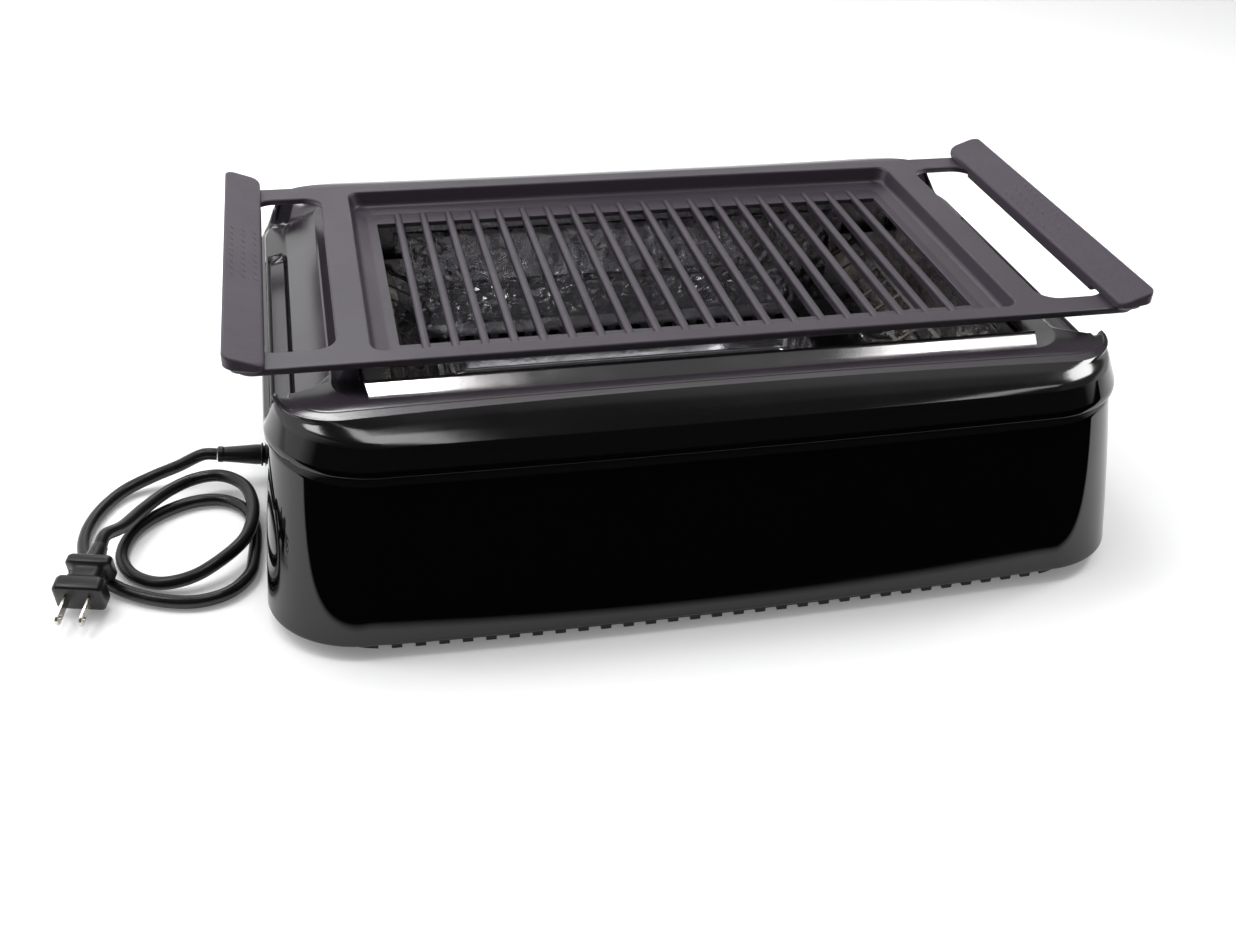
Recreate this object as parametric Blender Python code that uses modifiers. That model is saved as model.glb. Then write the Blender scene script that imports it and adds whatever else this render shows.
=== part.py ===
"""Smokeless indoor grill: a glossy two-piece housing, a lift-off cast grate with two grips,
side heaters in trough reflectors, a lift-out drip tray, a rocker switch and a mains lead.

Metres, +Z up. The origin is on the table, under the middle of the housing. X runs along the
long side, the front faces -Y.
"""

import math

import bmesh
import bpy
from mathutils import Matrix, Vector

# Clearances and shared resolution
FIT = 0.0003
SEAM = 0.0005
CUT_OVERRUN = 0.004
CORNER_STEPS = 8
LONG_STEPS = 6
SHORT_STEPS = 14
ROUND_SIDES = 16
BEVEL_SEGMENTS = 2

# Base plate, its feet and the screws under it
BASE_FIT = 0.0008
BASE_CORNER_IN = 0.0040
BAND_IN_X = 0.0036
BAND_CORNER_X = 0.060
BAND_CORNER_Y = 0.058
BASE_RIM_Z = 0.0015
BAND_HEIGHT = 0.0053
BASE_UNDER = 0.0025
BASE_THICK = 0.0025
BASE_RIM_WALL = 0.0024
BASE_RIM_RISE = 0.0028
NOTCH_WIDTH = 0.0070
NOTCH_HEIGHT = 0.0026
NOTCH_PITCH = 0.0126
NOTCH_COUNT = 31
FOOT_PAD_RADIUS = 0.0090
FOOT_PAD_IN_X = 0.0640
FOOT_PAD_IN_Y = 0.0494
POST_HEIGHT = 0.0060
POST_IN_X = 0.0395
POST_IN_Y = 0.0305
POST_RADIUS = 0.0060
SCREW_RADIUS = 0.0015
SCREW_HEAD_RADIUS = 0.0036
SCREW_HEAD_THICK = 0.0016
BASE_FLOOR_Z = BASE_RIM_Z + BASE_UNDER
BAND_TOP_Z = BASE_RIM_Z + BAND_HEIGHT

# Lower housing: half sizes at the foot, corner radii, bow of the long sides, taper and height
FOOT_X = 0.2490
FOOT_Y = 0.1794
FOOT_CORNER_X = 0.052
FOOT_CORNER_Y = 0.049
FOOT_BOW = 0.0044
FOOT_GAP = 0.0009
FOOT_ROLL = 0.0014
WALL_HEIGHT = 0.0979
WALL_IN_X = 0.0103
WALL_IN_Y = 0.0164
SEAM_CORNER_X = 0.056
SEAM_CORNER_Y = 0.053
SEAM_BOW = 0.0020
BELLY = 0.0008
HOUSING_WALL = 0.0024
FOOT_Z = BAND_TOP_Z + FOOT_GAP
BASE_RIM_TOP_Z = FOOT_Z + BASE_RIM_RISE
WALL_TOP_Z = FOOT_Z + WALL_HEIGHT
SEAM_X = FOOT_X - WALL_IN_X
SEAM_Y = FOOT_Y - WALL_IN_Y

# Upper housing: skirt, shoulder, land with scooped sides, sloping rails and inner lip
SKIRT_OVERLAP = 0.0006
SKIRT_WALL = 0.0022
SKIRT_FLAT = 0.0030
BAND_RISE = 0.0152
BAND_IN_X = 0.0054
BAND_IN_Y = 0.0042
BAND_CORNER_X = 0.0560
BAND_CORNER_Y = 0.0520
BAND_BOW = 0.0015
SHOULDER_RISE = 0.0178
SHOULDER_IN_X = 0.0060
SHOULDER_IN_Y = 0.0082
SHOULDER_CORNER = 0.0500
CROWN_RISE = 0.0204
CROWN_IN_X = 0.0074
CROWN_IN_Y = 0.0162
CROWN_CORNER = 0.0435
LAND_RISE = 0.0222
LAND_IN_X = 0.0056
LAND_IN_Y = 0.0229
LAND_CORNER = 0.0345
LAND_BOW = -0.0052
MOUTH_X = 0.1900
MOUTH_Y = 0.1060
MOUTH_CORNER = 0.0070
RAIL_OUT_X = 0.0150
RAIL_OUT_Y = 0.0223
RAIL_CORNER = 0.0200
RAIL_DROP = 0.0026
PANEL_OUT_X = 0.0189
PANEL_OUT_Y = 0.0062
LEDGE_SHARE = 0.5
LIP_DROP = 0.0066
SCOOP_DEPTH = 0.0134
SCOOP_FRONT_OUT = 0.0080
SCOOP_BACK_OUT = 0.0260
SCOOP_RUN = 0.0090
BAND_SCOOP_DEPTH = 0.0090
BAND_SCOOP_OUT = 0.0014
SHOULDER_SCOOP_DEPTH = 0.0104
SHOULDER_SCOOP_OUT = 0.0016
CROWN_SCOOP_DEPTH = 0.0122
CROWN_SCOOP_OUT = 0.0028
BACK_LIFT = 0.0050
BACK_OUT = 0.0040
BACK_START_OUT = 0.0140
BACK_RUN = 0.0200
POCKET_DEPTH = 0.0020
POCKET_EDGE = 0.0020
POCKET_BACK_OUT = -0.0280
POCKET_FRONT_OUT = -0.0040
POCKET_RUN = 0.0060
SKIRT_Z = WALL_TOP_Z - SKIRT_OVERLAP
BAND_Z = SKIRT_Z + BAND_RISE
SHOULDER_Z = SKIRT_Z + SHOULDER_RISE
CROWN_Z = SKIRT_Z + CROWN_RISE
LAND_Z = SKIRT_Z + LAND_RISE
MOUTH_Z = LAND_Z - RAIL_DROP
SKIRT_X = SEAM_X + SEAM + SKIRT_WALL
SKIRT_Y = SEAM_Y + SEAM + SKIRT_WALL
SKIRT_CORNER_X = SEAM_CORNER_X + SEAM + SKIRT_WALL
SKIRT_CORNER_Y = SEAM_CORNER_Y + SEAM + SKIRT_WALL
LAND_X = SKIRT_X - LAND_IN_X
LAND_Y = SKIRT_Y - LAND_IN_Y
RAIL_X = MOUTH_X + RAIL_OUT_X
RAIL_Y = MOUTH_Y + RAIL_OUT_Y
PANEL_X = RAIL_X + PANEL_OUT_X
PANEL_Y = RAIL_Y + PANEL_OUT_Y
LEDGE_X = MOUTH_X + RAIL_OUT_X * LEDGE_SHARE
LEDGE_Y = MOUTH_Y + RAIL_OUT_Y * LEDGE_SHARE
LEDGE_Z = MOUTH_Z + RAIL_DROP * LEDGE_SHARE
LEDGE_CORNER = MOUTH_CORNER + (RAIL_CORNER - MOUTH_CORNER) * LEDGE_SHARE
SCOOP_FRONT_Y = MOUTH_Y + SCOOP_FRONT_OUT
SCOOP_BACK_Y = MOUTH_Y + SCOOP_BACK_OUT
BACK_START_Y = MOUTH_Y + BACK_START_OUT
POCKET_FRONT_Y = MOUTH_Y + POCKET_FRONT_OUT
POCKET_BACK_Y = MOUTH_Y + POCKET_BACK_OUT

# Grate: one casting with a sunk floor, cross bars and two arms at each end
GRATE_ABOVE = 0.0163
GRATE_THICK = 0.0040
BORDER_X = 0.0173
BORDER_Y = 0.0115
GRATE_CORNER = 0.0100
GRATE_EDGE = 0.0014
SUNK_IN_X = 0.0070
SUNK_IN_Y = 0.0020
SUNK_CORNER = 0.0080
SUNK_FOOT_IN = 0.0025
SUNK_STEP_DEPTH = 0.0092
SUNK_STEP_IN = 0.0080
SUNK_STEP_DROP = 0.0024
SUNK_WALL = 0.0030
ARM_WIDTH = 0.0175
OPEN_CORNER = 0.0120
BAR_COUNT = 20
BAR_WIDTH = 0.0048
BAR_RISE = 0.0016
BAR_HANG = 0.0044
SLOT_SIDE = 0.0058
SLOT_END = 0.0145
RIB_SHARE = 0.93
REST_OUT = 0.0045
REST_THICK = 0.0030
REST_END = 0.0190
GRATE_Z = LAND_Z + GRATE_ABOVE
SUNK_X = MOUTH_X - SUNK_IN_X
SUNK_Y = MOUTH_Y - SUNK_IN_Y
GRATE_HALF_Y = SUNK_Y + BORDER_Y
GRATE_OPEN_X = SUNK_X + BORDER_X
GRATE_OPEN_Y = GRATE_HALF_Y - ARM_WIDTH
SUNK_DEPTH = SUNK_STEP_DEPTH + SUNK_STEP_DROP
SUNK_FLOOR_Z = GRATE_Z - SUNK_DEPTH
SUNK_FLOOR_X = SUNK_X - SUNK_FOOT_IN - SUNK_STEP_IN
SUNK_FLOOR_Y = SUNK_Y - SUNK_FOOT_IN - SUNK_STEP_IN
SLOT_HALF_X = SUNK_FLOOR_X - SLOT_SIDE
SLOT_HALF_Y = SUNK_FLOOR_Y - SLOT_END
RIB_HALF_Y = SLOT_HALF_Y + SLOT_END * RIB_SHARE
BAR_GAP = (2 * SLOT_HALF_X - BAR_COUNT * BAR_WIDTH) / (BAR_COUNT + 1)
BAR_PITCH = BAR_WIDTH + BAR_GAP
REST_X = MOUTH_X + REST_OUT
REST_HALF_Y = SUNK_Y - REST_END
REST_SHARE = (REST_OUT + REST_THICK / 2) / RAIL_OUT_X
REST_FLAT_Z = MOUTH_Z + RAIL_DROP * REST_SHARE

# Grips, on a bar that joins the ends of the arms
GRIP_GAP = 0.0366
GRIP_WIDTH = 0.0205
GRIP_END = 0.0060
GRIP_RISE_IN = 0.0049
GRIP_RISE_OUT = 0.0124
GRIP_SINK_IN = 0.0035
GRIP_SINK_OUT = 0.0003
GRIP_CORNER = 0.0060
GRIP_EDGE = 0.0012
GRIP_BAR_IN = 0.0050
GRIP_BAR_WIDTH = 0.0105
GRIP_SCREW_SHARE = 0.6
GRIP_SCREW_LENGTH = 0.0075
GRIP_INNER_X = GRATE_OPEN_X + GRIP_GAP
GRIP_OUTER_X = GRIP_INNER_X + GRIP_WIDTH
GRIP_HALF_Y = GRATE_HALF_Y + GRIP_END
GRIP_TOP_IN_Z = GRATE_Z + GRIP_RISE_IN
GRIP_TOP_OUT_Z = GRATE_Z + GRIP_RISE_OUT
GRIP_UNDER_IN_Z = GRATE_Z - GRIP_SINK_IN
GRIP_UNDER_OUT_Z = GRATE_Z - GRIP_SINK_OUT
GRIP_BAR_X = GRIP_INNER_X + GRIP_BAR_IN
GRIP_BAR_OUT_X = GRIP_BAR_X + GRIP_BAR_WIDTH

# Sheet-metal liner and reflectors
SHEET = 0.0010
LINER_CORNER = 0.0060
LINER_DOWN = 0.0036
VENT_WIDTH = 0.0060
VENT_HEIGHT = 0.0060
VENT_PITCH = 0.0119
VENT_COUNT = 23
VENT_RISE = 0.0150
LONG_REFLECTOR_END = 0.0007
LONG_REFLECTOR_DOWN = 0.0080
LONG_REFLECTOR_HEIGHT = 0.0690
LONG_REFLECTOR_LEAN = 0.0050
LONG_REFLECTOR_FOLD = 0.0030
LONG_REFLECTOR_WAIST = 0.47
TROUGH_RADIUS = 0.0235
TROUGH_DOWN = 0.0090
TROUGH_END = 0.0095
TROUGH_WRAP = math.radians(148)
TROUGH_STEPS = 9
LINER_FLOOR_Z = BASE_FLOOR_Z + BASE_THICK + POST_HEIGHT
LINER_X = MOUTH_X - SEAM
LINER_Y = MOUTH_Y - SEAM
LINER_TOP_Z = MOUTH_Z - LINER_DOWN
LONG_REFLECTOR_TOP_Z = LINER_TOP_Z - LONG_REFLECTOR_DOWN
LONG_REFLECTOR_FOOT_Z = LONG_REFLECTOR_TOP_Z - LONG_REFLECTOR_HEIGHT
TROUGH_TOP_Z = LINER_TOP_Z - TROUGH_DOWN
TROUGH_HALF_Y = LINER_Y - SHEET - TROUGH_END

# Heaters
HEATER_DOWN = 0.0360
HEATER_RADIUS = 0.0052
HEATER_END_IN = 0.0080
CAP_RADIUS = 0.0080
CAP_OVERLAP = 0.0050
CAP_GAP = 0.0009
GUARD_WIDTH = 0.0240
GUARD_TILT = math.radians(-32)
GUARD_OFF = 0.0150
GUARD_SLOTS = 9
GUARD_RIB = 0.0024
GUARD_RAIL = 0.0028
HEATER_X = LINER_X - SHEET - FIT - SHEET - TROUGH_RADIUS
HEATER_Z = TROUGH_TOP_Z - HEATER_DOWN
HEATER_HALF_Y = TROUGH_HALF_Y - HEATER_END_IN
CAP_END_Y = TROUGH_HALF_Y + TROUGH_END - CAP_GAP
LONG_REFLECTOR_HALF_X = HEATER_X - CAP_RADIUS - LONG_REFLECTOR_END

# Drip tray
TRAY_SIDE = 0.0062
TRAY_END = 0.0020
TRAY_FLARE = 0.0040
TRAY_CORNER = 0.0160
TRAY_HEIGHT = 0.0165
TRAY_WALL = 0.0012
TRAY_LIP = 0.0035
TRAY_X = HEATER_X - TROUGH_RADIUS - SHEET - TRAY_SIDE - TRAY_LIP - TRAY_FLARE
TRAY_Y = LINER_Y - 3 * SHEET - LONG_REFLECTOR_LEAN - TRAY_END - TRAY_LIP - TRAY_FLARE

# Rocker switch in the right wall, tilted with the wall
SWITCH_Z = 0.0600
SWITCH_Y = 0.0
BEZEL_HEIGHT = 0.0250
BEZEL_WIDTH = 0.0170
BEZEL_THICK = 0.0020
SWITCH_BODY_HEIGHT = 0.0220
SWITCH_BODY_WIDTH = 0.0136
SWITCH_BODY_DEPTH = 0.0180
SWITCH_WELL_HEIGHT = 0.0190
SWITCH_WELL_WIDTH = 0.0106
SWITCH_WELL_DEPTH = 0.0075
ROCKER_REST = math.radians(7)
ROCKER_CROWN = 0.0016
ROCKER_PROUD = 0.0026

# Wiring inside the right and left ends
TERMINAL_SHARE = 0.4
TERMINAL_Y = 0.0300
TERMINAL_LENGTH = 0.0300
TERMINAL_WIDTH = 0.0180
TERMINAL_HEIGHT = 0.0140
CUTOUT_Y = 0.0450
CUTOUT_Z = 0.0700
CUTOUT_RADIUS = 0.0080
CUTOUT_THICK = 0.0065
LEAD_RADIUS = 0.0015
TERMINAL_X = -LINER_X - (FOOT_X - LINER_X) * TERMINAL_SHARE

# Mains lead, its strain relief and its plug
CORD_DIAMETER = 0.0076
CORD_EXIT_Y = 0.0000
CORD_EXIT_UP = 0.0020
RELIEF_LENGTH = 0.0260
RELIEF_ROOT_RADIUS = 0.0062
RELIEF_TIP_RADIUS = 0.0046
RELIEF_FLANGE_RADIUS = 0.0085
RELIEF_FLANGE_THICK = 0.0018
RELIEF_STUB_RADIUS = 0.0055
RELIEF_STUB_LENGTH = 0.0080
PLUG_FACE_WIDTH = 0.0270
PLUG_FACE_THICK = 0.0180
PLUG_FACE_LENGTH = 0.0110
PLUG_WAIST_WIDTH = 0.0180
PLUG_WAIST_THICK = 0.0130
PLUG_WAIST_LENGTH = 0.0090
PLUG_COLLAR_WIDTH = 0.0250
PLUG_COLLAR_THICK = 0.0160
PLUG_COLLAR_LENGTH = 0.0070
PLUG_NECK_LENGTH = 0.0120
BLADE_SPACING = 0.0127
BLADE_LENGTH = 0.0170
BLADE_WIDTH = 0.0063
BLADE_THICK = 0.0015
BLADE_HOLE_RADIUS = 0.0016
CORD_POINTS = 78


def prepare():
    """Empties the scene and returns the collections for the parts and the cutters."""
    for obj in list(bpy.data.objects):
        bpy.data.objects.remove(obj)
    parts = bpy.data.collections.new("indoor_grill")
    cutters = bpy.data.collections.new("indoor_grill_cutters")
    bpy.context.scene.collection.children.link(parts)
    bpy.context.scene.collection.children.link(cutters)
    return parts, cutters


PARTS, CUTTERS = prepare()
MATERIALS = {}


def finish_of(name, colour, roughness, metallic=0.0):
    """A plain Principled material, made once for each finish."""
    if name not in MATERIALS:
        material = bpy.data.materials.new(name)
        material.use_nodes = True
        shader = material.node_tree.nodes["Principled BSDF"]
        shader.inputs["Base Color"].default_value = (*colour, 1)
        shader.inputs["Roughness"].default_value = roughness
        shader.inputs["Metallic"].default_value = metallic
        MATERIALS[name] = material
    return MATERIALS[name]


def gloss_black():
    return finish_of("gloss_black_housing", (0.012, 0.012, 0.013), 0.12)


def cast_grey():
    return finish_of("coated_casting", (0.070, 0.062, 0.072), 0.55, 0.2)


def grip_grey():
    return finish_of("grip_plastic", (0.060, 0.055, 0.062), 0.6)


def bright_sheet():
    return finish_of("bright_sheet", (0.80, 0.80, 0.82), 0.22, 1.0)


def dull_steel():
    return finish_of("steel", (0.52, 0.52, 0.54), 0.35, 1.0)


def base_plastic():
    return finish_of("base_plastic", (0.030, 0.030, 0.032), 0.5)


def soft_black():
    return finish_of("soft_black", (0.014, 0.014, 0.014), 0.45)


def ceramic_white():
    return finish_of("ceramic", (0.75, 0.73, 0.68), 0.6)


def quartz():
    return finish_of("quartz", (0.78, 0.74, 0.70), 0.15)


def nickel():
    return finish_of("nickel", (0.70, 0.66, 0.58), 0.25, 1.0)


def add_object(name, mesh, material, smooth=True, collection=None):
    """Links a mesh as a named object with its material and smooth shading between sharp edges."""
    obj = bpy.data.objects.new(name, mesh)
    (collection or PARTS).objects.link(obj)
    if material:
        mesh.materials.append(material)
    if smooth:
        mesh.shade_smooth()
        mesh.set_sharp_from_angle(angle=math.radians(35))
    return obj


def from_bmesh(name, bm, material, smooth=True, collection=None):
    """Turns a bmesh into an object, with its faces pointing out."""
    bmesh.ops.recalc_face_normals(bm, faces=bm.faces)
    mesh = bpy.data.meshes.new(name)
    bm.to_mesh(mesh)
    bm.free()
    return add_object(name, mesh, material, smooth, collection)


def as_cutter(obj):
    """Moves an object to the cutters and keeps it out of renders."""
    for owner in list(obj.users_collection):
        owner.objects.unlink(obj)
    CUTTERS.objects.link(obj)
    obj.hide_render = True
    obj.display_type = "WIRE"
    return obj


def boolean(obj, other, operation="DIFFERENCE"):
    """Cuts or joins with another mesh, which becomes a cutter."""
    as_cutter(other)
    modifier = obj.modifiers.new(operation.lower(), "BOOLEAN")
    modifier.operation = operation
    modifier.solver = "EXACT"
    modifier.object = other
    return obj


def bevelled(obj, width, segments=BEVEL_SEGMENTS, angle=math.radians(40)):
    modifier = obj.modifiers.new("rounded_edges", "BEVEL")
    modifier.width = width
    modifier.segments = segments
    modifier.limit_method = "ANGLE"
    modifier.angle_limit = angle
    return obj


def outline(half_x, half_y, corner_x, corner_y, bow, z):
    """A rounded rectangle whose long sides bow out, anticlockwise from the left end of the front."""
    points = []
    flat_x = half_x - corner_x
    flat_y = half_y - corner_y

    def corner(sign_x, sign_y, start):
        for step in range(CORNER_STEPS + 1):
            angle = start + step * math.pi / 2 / CORNER_STEPS
            x = sign_x * flat_x + corner_x * math.cos(angle)
            y = sign_y * flat_y + corner_y * math.sin(angle)
            points.append(Vector((x, y, z)))

    def long_side(sign_y):
        for step in range(1, LONG_STEPS):
            share = -1 + 2 * step / LONG_STEPS
            y = sign_y * (half_y + bow * (1 - share * share))
            points.append(Vector((-sign_y * share * flat_x, y, z)))

    def short_side(sign_x):
        for step in range(1, SHORT_STEPS):
            share = math.sin(math.pi / 2 * (-1 + 2 * step / SHORT_STEPS))
            points.append(Vector((sign_x * half_x, sign_x * share * flat_y, z)))

    corner(-1, -1, math.pi)
    long_side(-1)
    corner(1, -1, -math.pi / 2)
    short_side(1)
    corner(1, 1, 0)
    long_side(1)
    corner(-1, 1, math.pi / 2)
    short_side(-1)
    return points


def lofted(rings, first_cap=False, last_cap=False, looped=False):
    """A bmesh skin through rings that have as many points each."""
    bm = bmesh.new()
    rows = [[bm.verts.new(point) for point in ring] for ring in rings]
    pairs = list(zip(rows, rows[1:]))
    if looped:
        pairs.append((rows[-1], rows[0]))
    for low, high in pairs:
        for i, vertex in enumerate(low):
            j = (i + 1) % len(low)
            bm.faces.new((vertex, low[j], high[j], high[i]))
    if first_cap:
        bm.faces.new(rows[0])
    if last_cap:
        bm.faces.new(rows[-1])
    return bm


def box_mesh(bm, low, high):
    """Adds a box between two corners to a bmesh."""
    low = Vector(low)
    high = Vector(high)
    made = bmesh.ops.create_cube(bm, size=1)
    scale = Matrix.Diagonal((*(high - low), 1))
    bmesh.ops.transform(bm, matrix=Matrix.Translation((low + high) / 2) @ scale, verts=made["verts"])
    return made["verts"]


def cylinder_mesh(bm, start, end, radius_start, radius_end=None, sides=ROUND_SIDES):
    """Adds a capped cylinder or cone between two points to a bmesh."""
    start = Vector(start)
    end = Vector(end)
    axis = end - start
    made = bmesh.ops.create_cone(
        bm,
        cap_ends=True,
        segments=sides,
        radius1=radius_start,
        radius2=radius_start if radius_end is None else radius_end,
        depth=axis.length,
    )
    turn = axis.to_track_quat("Z", "Y").to_matrix().to_4x4()
    bmesh.ops.transform(bm, matrix=Matrix.Translation((start + end) / 2) @ turn, verts=made["verts"])
    return made["verts"]


def prism_mesh(bm, profile, half_length, place):
    """Adds a closed profile extruded both ways from the middle; place puts a profile point in space."""
    ends = []
    for side in (-half_length, half_length):
        ends.append([bm.verts.new(place(a, b, side)) for a, b in profile])
    for i in range(len(profile)):
        j = (i + 1) % len(profile)
        bm.faces.new((ends[0][i], ends[0][j], ends[1][j], ends[1][i]))
    bm.faces.new(ends[0])
    bm.faces.new(ends[1])


def sheet_profile(path, thickness):
    """The closed outline of a bent sheet that follows an open path of points in a plane."""
    near = []
    far = []
    for i, point in enumerate(path):
        before = path[max(i - 1, 0)]
        after = path[min(i + 1, len(path) - 1)]
        along = Vector((after[0] - before[0], after[1] - before[1])).normalized()
        normal = Vector((-along.y, along.x))
        near.append((point[0] + normal.x * thickness / 2, point[1] + normal.y * thickness / 2))
        far.append((point[0] - normal.x * thickness / 2, point[1] - normal.y * thickness / 2))
    return near + far[::-1]


def smooth_share(share):
    share = min(max(share, 0), 1)
    return share * share * (3 - 2 * share)


def smooth_route(points, count):
    """Points at even steps along a centripetal curve through the route's own points."""
    route = [Vector(p) for p in points]
    ends = [2 * route[0] - route[1]] + route + [2 * route[-1] - route[-2]]
    fine = []
    for a, b, c, d in zip(ends, ends[1:], ends[2:], ends[3:]):
        knots = [0]
        for near, far in ((a, b), (b, c), (c, d)):
            knots.append(knots[-1] + max((far - near).length, FIT) ** 0.5)
        for step in range(24):
            t = knots[1] + (knots[2] - knots[1]) * step / 24
            first = a.lerp(b, (t - knots[0]) / (knots[1] - knots[0]))
            second = b.lerp(c, (t - knots[1]) / (knots[2] - knots[1]))
            third = c.lerp(d, (t - knots[2]) / (knots[3] - knots[2]))
            left = first.lerp(second, (t - knots[0]) / (knots[2] - knots[0]))
            right = second.lerp(third, (t - knots[1]) / (knots[3] - knots[1]))
            fine.append(left.lerp(right, (t - knots[1]) / (knots[2] - knots[1])))
    fine.append(route[-1])
    lengths = [0]
    for near, far in zip(fine, fine[1:]):
        lengths.append(lengths[-1] + (far - near).length)
    even = []
    index = 0
    for step in range(count):
        target = lengths[-1] * step / (count - 1)
        while index < len(fine) - 2 and lengths[index + 1] < target:
            index += 1
        span = lengths[index + 1] - lengths[index]
        even.append(fine[index].lerp(fine[index + 1], (target - lengths[index]) / span))
    return even


def tube(name, points, radius, material, resolution=2):
    """A cord or wire: a poly curve with a round bevel and filled caps."""
    curve = bpy.data.curves.new(name, "CURVE")
    curve.dimensions = "3D"
    curve.bevel_depth = radius
    curve.bevel_resolution = resolution
    curve.use_fill_caps = True
    spline = curve.splines.new("POLY")
    spline.points.add(len(points) - 1)
    for control, point in zip(spline.points, points):
        control.co = (*point, 1)
    obj = bpy.data.objects.new(name, curve)
    PARTS.objects.link(obj)
    curve.materials.append(material)
    return obj


def between_ends(point, front_y, back_y, run):
    """The share, 0 to 1, of a side recess at a point, which eases in at both ends."""
    return smooth_share(min(point.y + front_y, back_y - point.y) / run)


def scooped(ring, depth, out=0.0, pocket=0.0):
    """Lowers a ring's sides under the grips, and lifts the back of the cover a little."""
    points = []
    for point in ring:
        share = between_ends(point, SCOOP_FRONT_Y, SCOOP_BACK_Y, SCOOP_RUN)
        sunk = between_ends(point, POCKET_FRONT_Y, POCKET_BACK_Y, POCKET_RUN)
        x = point.x + math.copysign(out, point.x) * share
        lift = smooth_share((point.y - BACK_START_Y) / BACK_RUN) * (point.z - SKIRT_Z) / LAND_RISE
        z = point.z + BACK_LIFT * lift - depth * share - pocket * sunk
        points.append(Vector((x, point.y + BACK_OUT * lift, z)))
    return points


def upper_housing():
    """The top cover: leaning band, shoulder, land with scooped sides, sloping rails and the mouth's lip."""
    band = (SKIRT_X - BAND_IN_X, SKIRT_Y - BAND_IN_Y, BAND_CORNER_X, BAND_CORNER_Y, BAND_BOW, BAND_Z)
    shoulder = (SKIRT_X - SHOULDER_IN_X, SKIRT_Y - SHOULDER_IN_Y, SHOULDER_CORNER, SHOULDER_CORNER,
                LAND_BOW / 4, SHOULDER_Z)
    crown = (SKIRT_X - CROWN_IN_X, SKIRT_Y - CROWN_IN_Y, CROWN_CORNER, CROWN_CORNER,
             LAND_BOW * 3 / 4, CROWN_Z)
    land = (LAND_X, LAND_Y, LAND_CORNER, LAND_CORNER, LAND_BOW, LAND_Z)
    pocket_out = (LAND_X - POCKET_EDGE, LAND_Y - POCKET_EDGE, LAND_CORNER, LAND_CORNER, LAND_BOW, LAND_Z)
    pocket_in = (PANEL_X + POCKET_EDGE, PANEL_Y + POCKET_EDGE, RAIL_CORNER, RAIL_CORNER,
                 LAND_BOW / 2, LAND_Z)
    rings = [
        outline(SKIRT_X, SKIRT_Y, SKIRT_CORNER_X, SKIRT_CORNER_Y, SEAM_BOW, SKIRT_Z),
        outline(SKIRT_X, SKIRT_Y, SKIRT_CORNER_X, SKIRT_CORNER_Y, SEAM_BOW, SKIRT_Z + SKIRT_FLAT),
        scooped(outline(*band), BAND_SCOOP_DEPTH, BAND_SCOOP_OUT),
        scooped(outline(*shoulder), SHOULDER_SCOOP_DEPTH, SHOULDER_SCOOP_OUT),
        scooped(outline(*crown), CROWN_SCOOP_DEPTH, CROWN_SCOOP_OUT),
        scooped(outline(*land), SCOOP_DEPTH),
        scooped(outline(*pocket_out), SCOOP_DEPTH, 0, POCKET_DEPTH),
        scooped(outline(*pocket_in), SCOOP_DEPTH, 0, POCKET_DEPTH),
        scooped(outline(PANEL_X, PANEL_Y, RAIL_CORNER, RAIL_CORNER, LAND_BOW / 2, LAND_Z), SCOOP_DEPTH),
        outline(RAIL_X, RAIL_Y, RAIL_CORNER, RAIL_CORNER, 0, LAND_Z),
        outline(LEDGE_X, LEDGE_Y, LEDGE_CORNER, LEDGE_CORNER, 0, LEDGE_Z),
        outline(MOUTH_X, MOUTH_Y, MOUTH_CORNER, MOUTH_CORNER, 0, MOUTH_Z),
        outline(MOUTH_X, MOUTH_Y, MOUTH_CORNER, MOUTH_CORNER, 0, MOUTH_Z - LIP_DROP),
    ]
    obj = from_bmesh("upper_housing", lofted(rings), gloss_black())
    shell = obj.modifiers.new("wall", "SOLIDIFY")
    shell.thickness = SKIRT_WALL
    shell.offset = -1
    return obj


def wall_x(z):
    """Half width of the lower housing's outside at a height."""
    return FOOT_X + (SEAM_X - FOOT_X) * (z - FOOT_Z) / (WALL_TOP_Z - FOOT_Z)


WALL_LEAN = math.atan2(FOOT_X - SEAM_X, WALL_TOP_Z - FOOT_Z)


def lower_housing():
    """The main body shell, open above and below, which widens towards the table."""
    middle_z = (FOOT_Z + WALL_TOP_Z) / 2
    middle = [(low + high) / 2 for low, high in zip(
        (FOOT_X, FOOT_Y, FOOT_CORNER_X, FOOT_CORNER_Y, FOOT_BOW),
        (SEAM_X, SEAM_Y, SEAM_CORNER_X, SEAM_CORNER_Y, SEAM_BOW),
    )]
    middle[0] += BELLY / 2
    middle[1] += BELLY
    rings = [
        outline(FOOT_X - FOOT_ROLL, FOOT_Y - FOOT_ROLL, FOOT_CORNER_X, FOOT_CORNER_Y, FOOT_BOW, FOOT_Z),
        outline(FOOT_X, FOOT_Y, FOOT_CORNER_X, FOOT_CORNER_Y, FOOT_BOW, FOOT_Z + FOOT_ROLL),
        outline(*middle, middle_z),
        outline(SEAM_X, SEAM_Y, SEAM_CORNER_X, SEAM_CORNER_Y, SEAM_BOW, WALL_TOP_Z),
    ]
    obj = from_bmesh("lower_housing", lofted(rings), gloss_black())
    shell = obj.modifiers.new("wall", "SOLIDIFY")
    shell.thickness = HOUSING_WALL
    shell.offset = -1
    return obj


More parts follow.
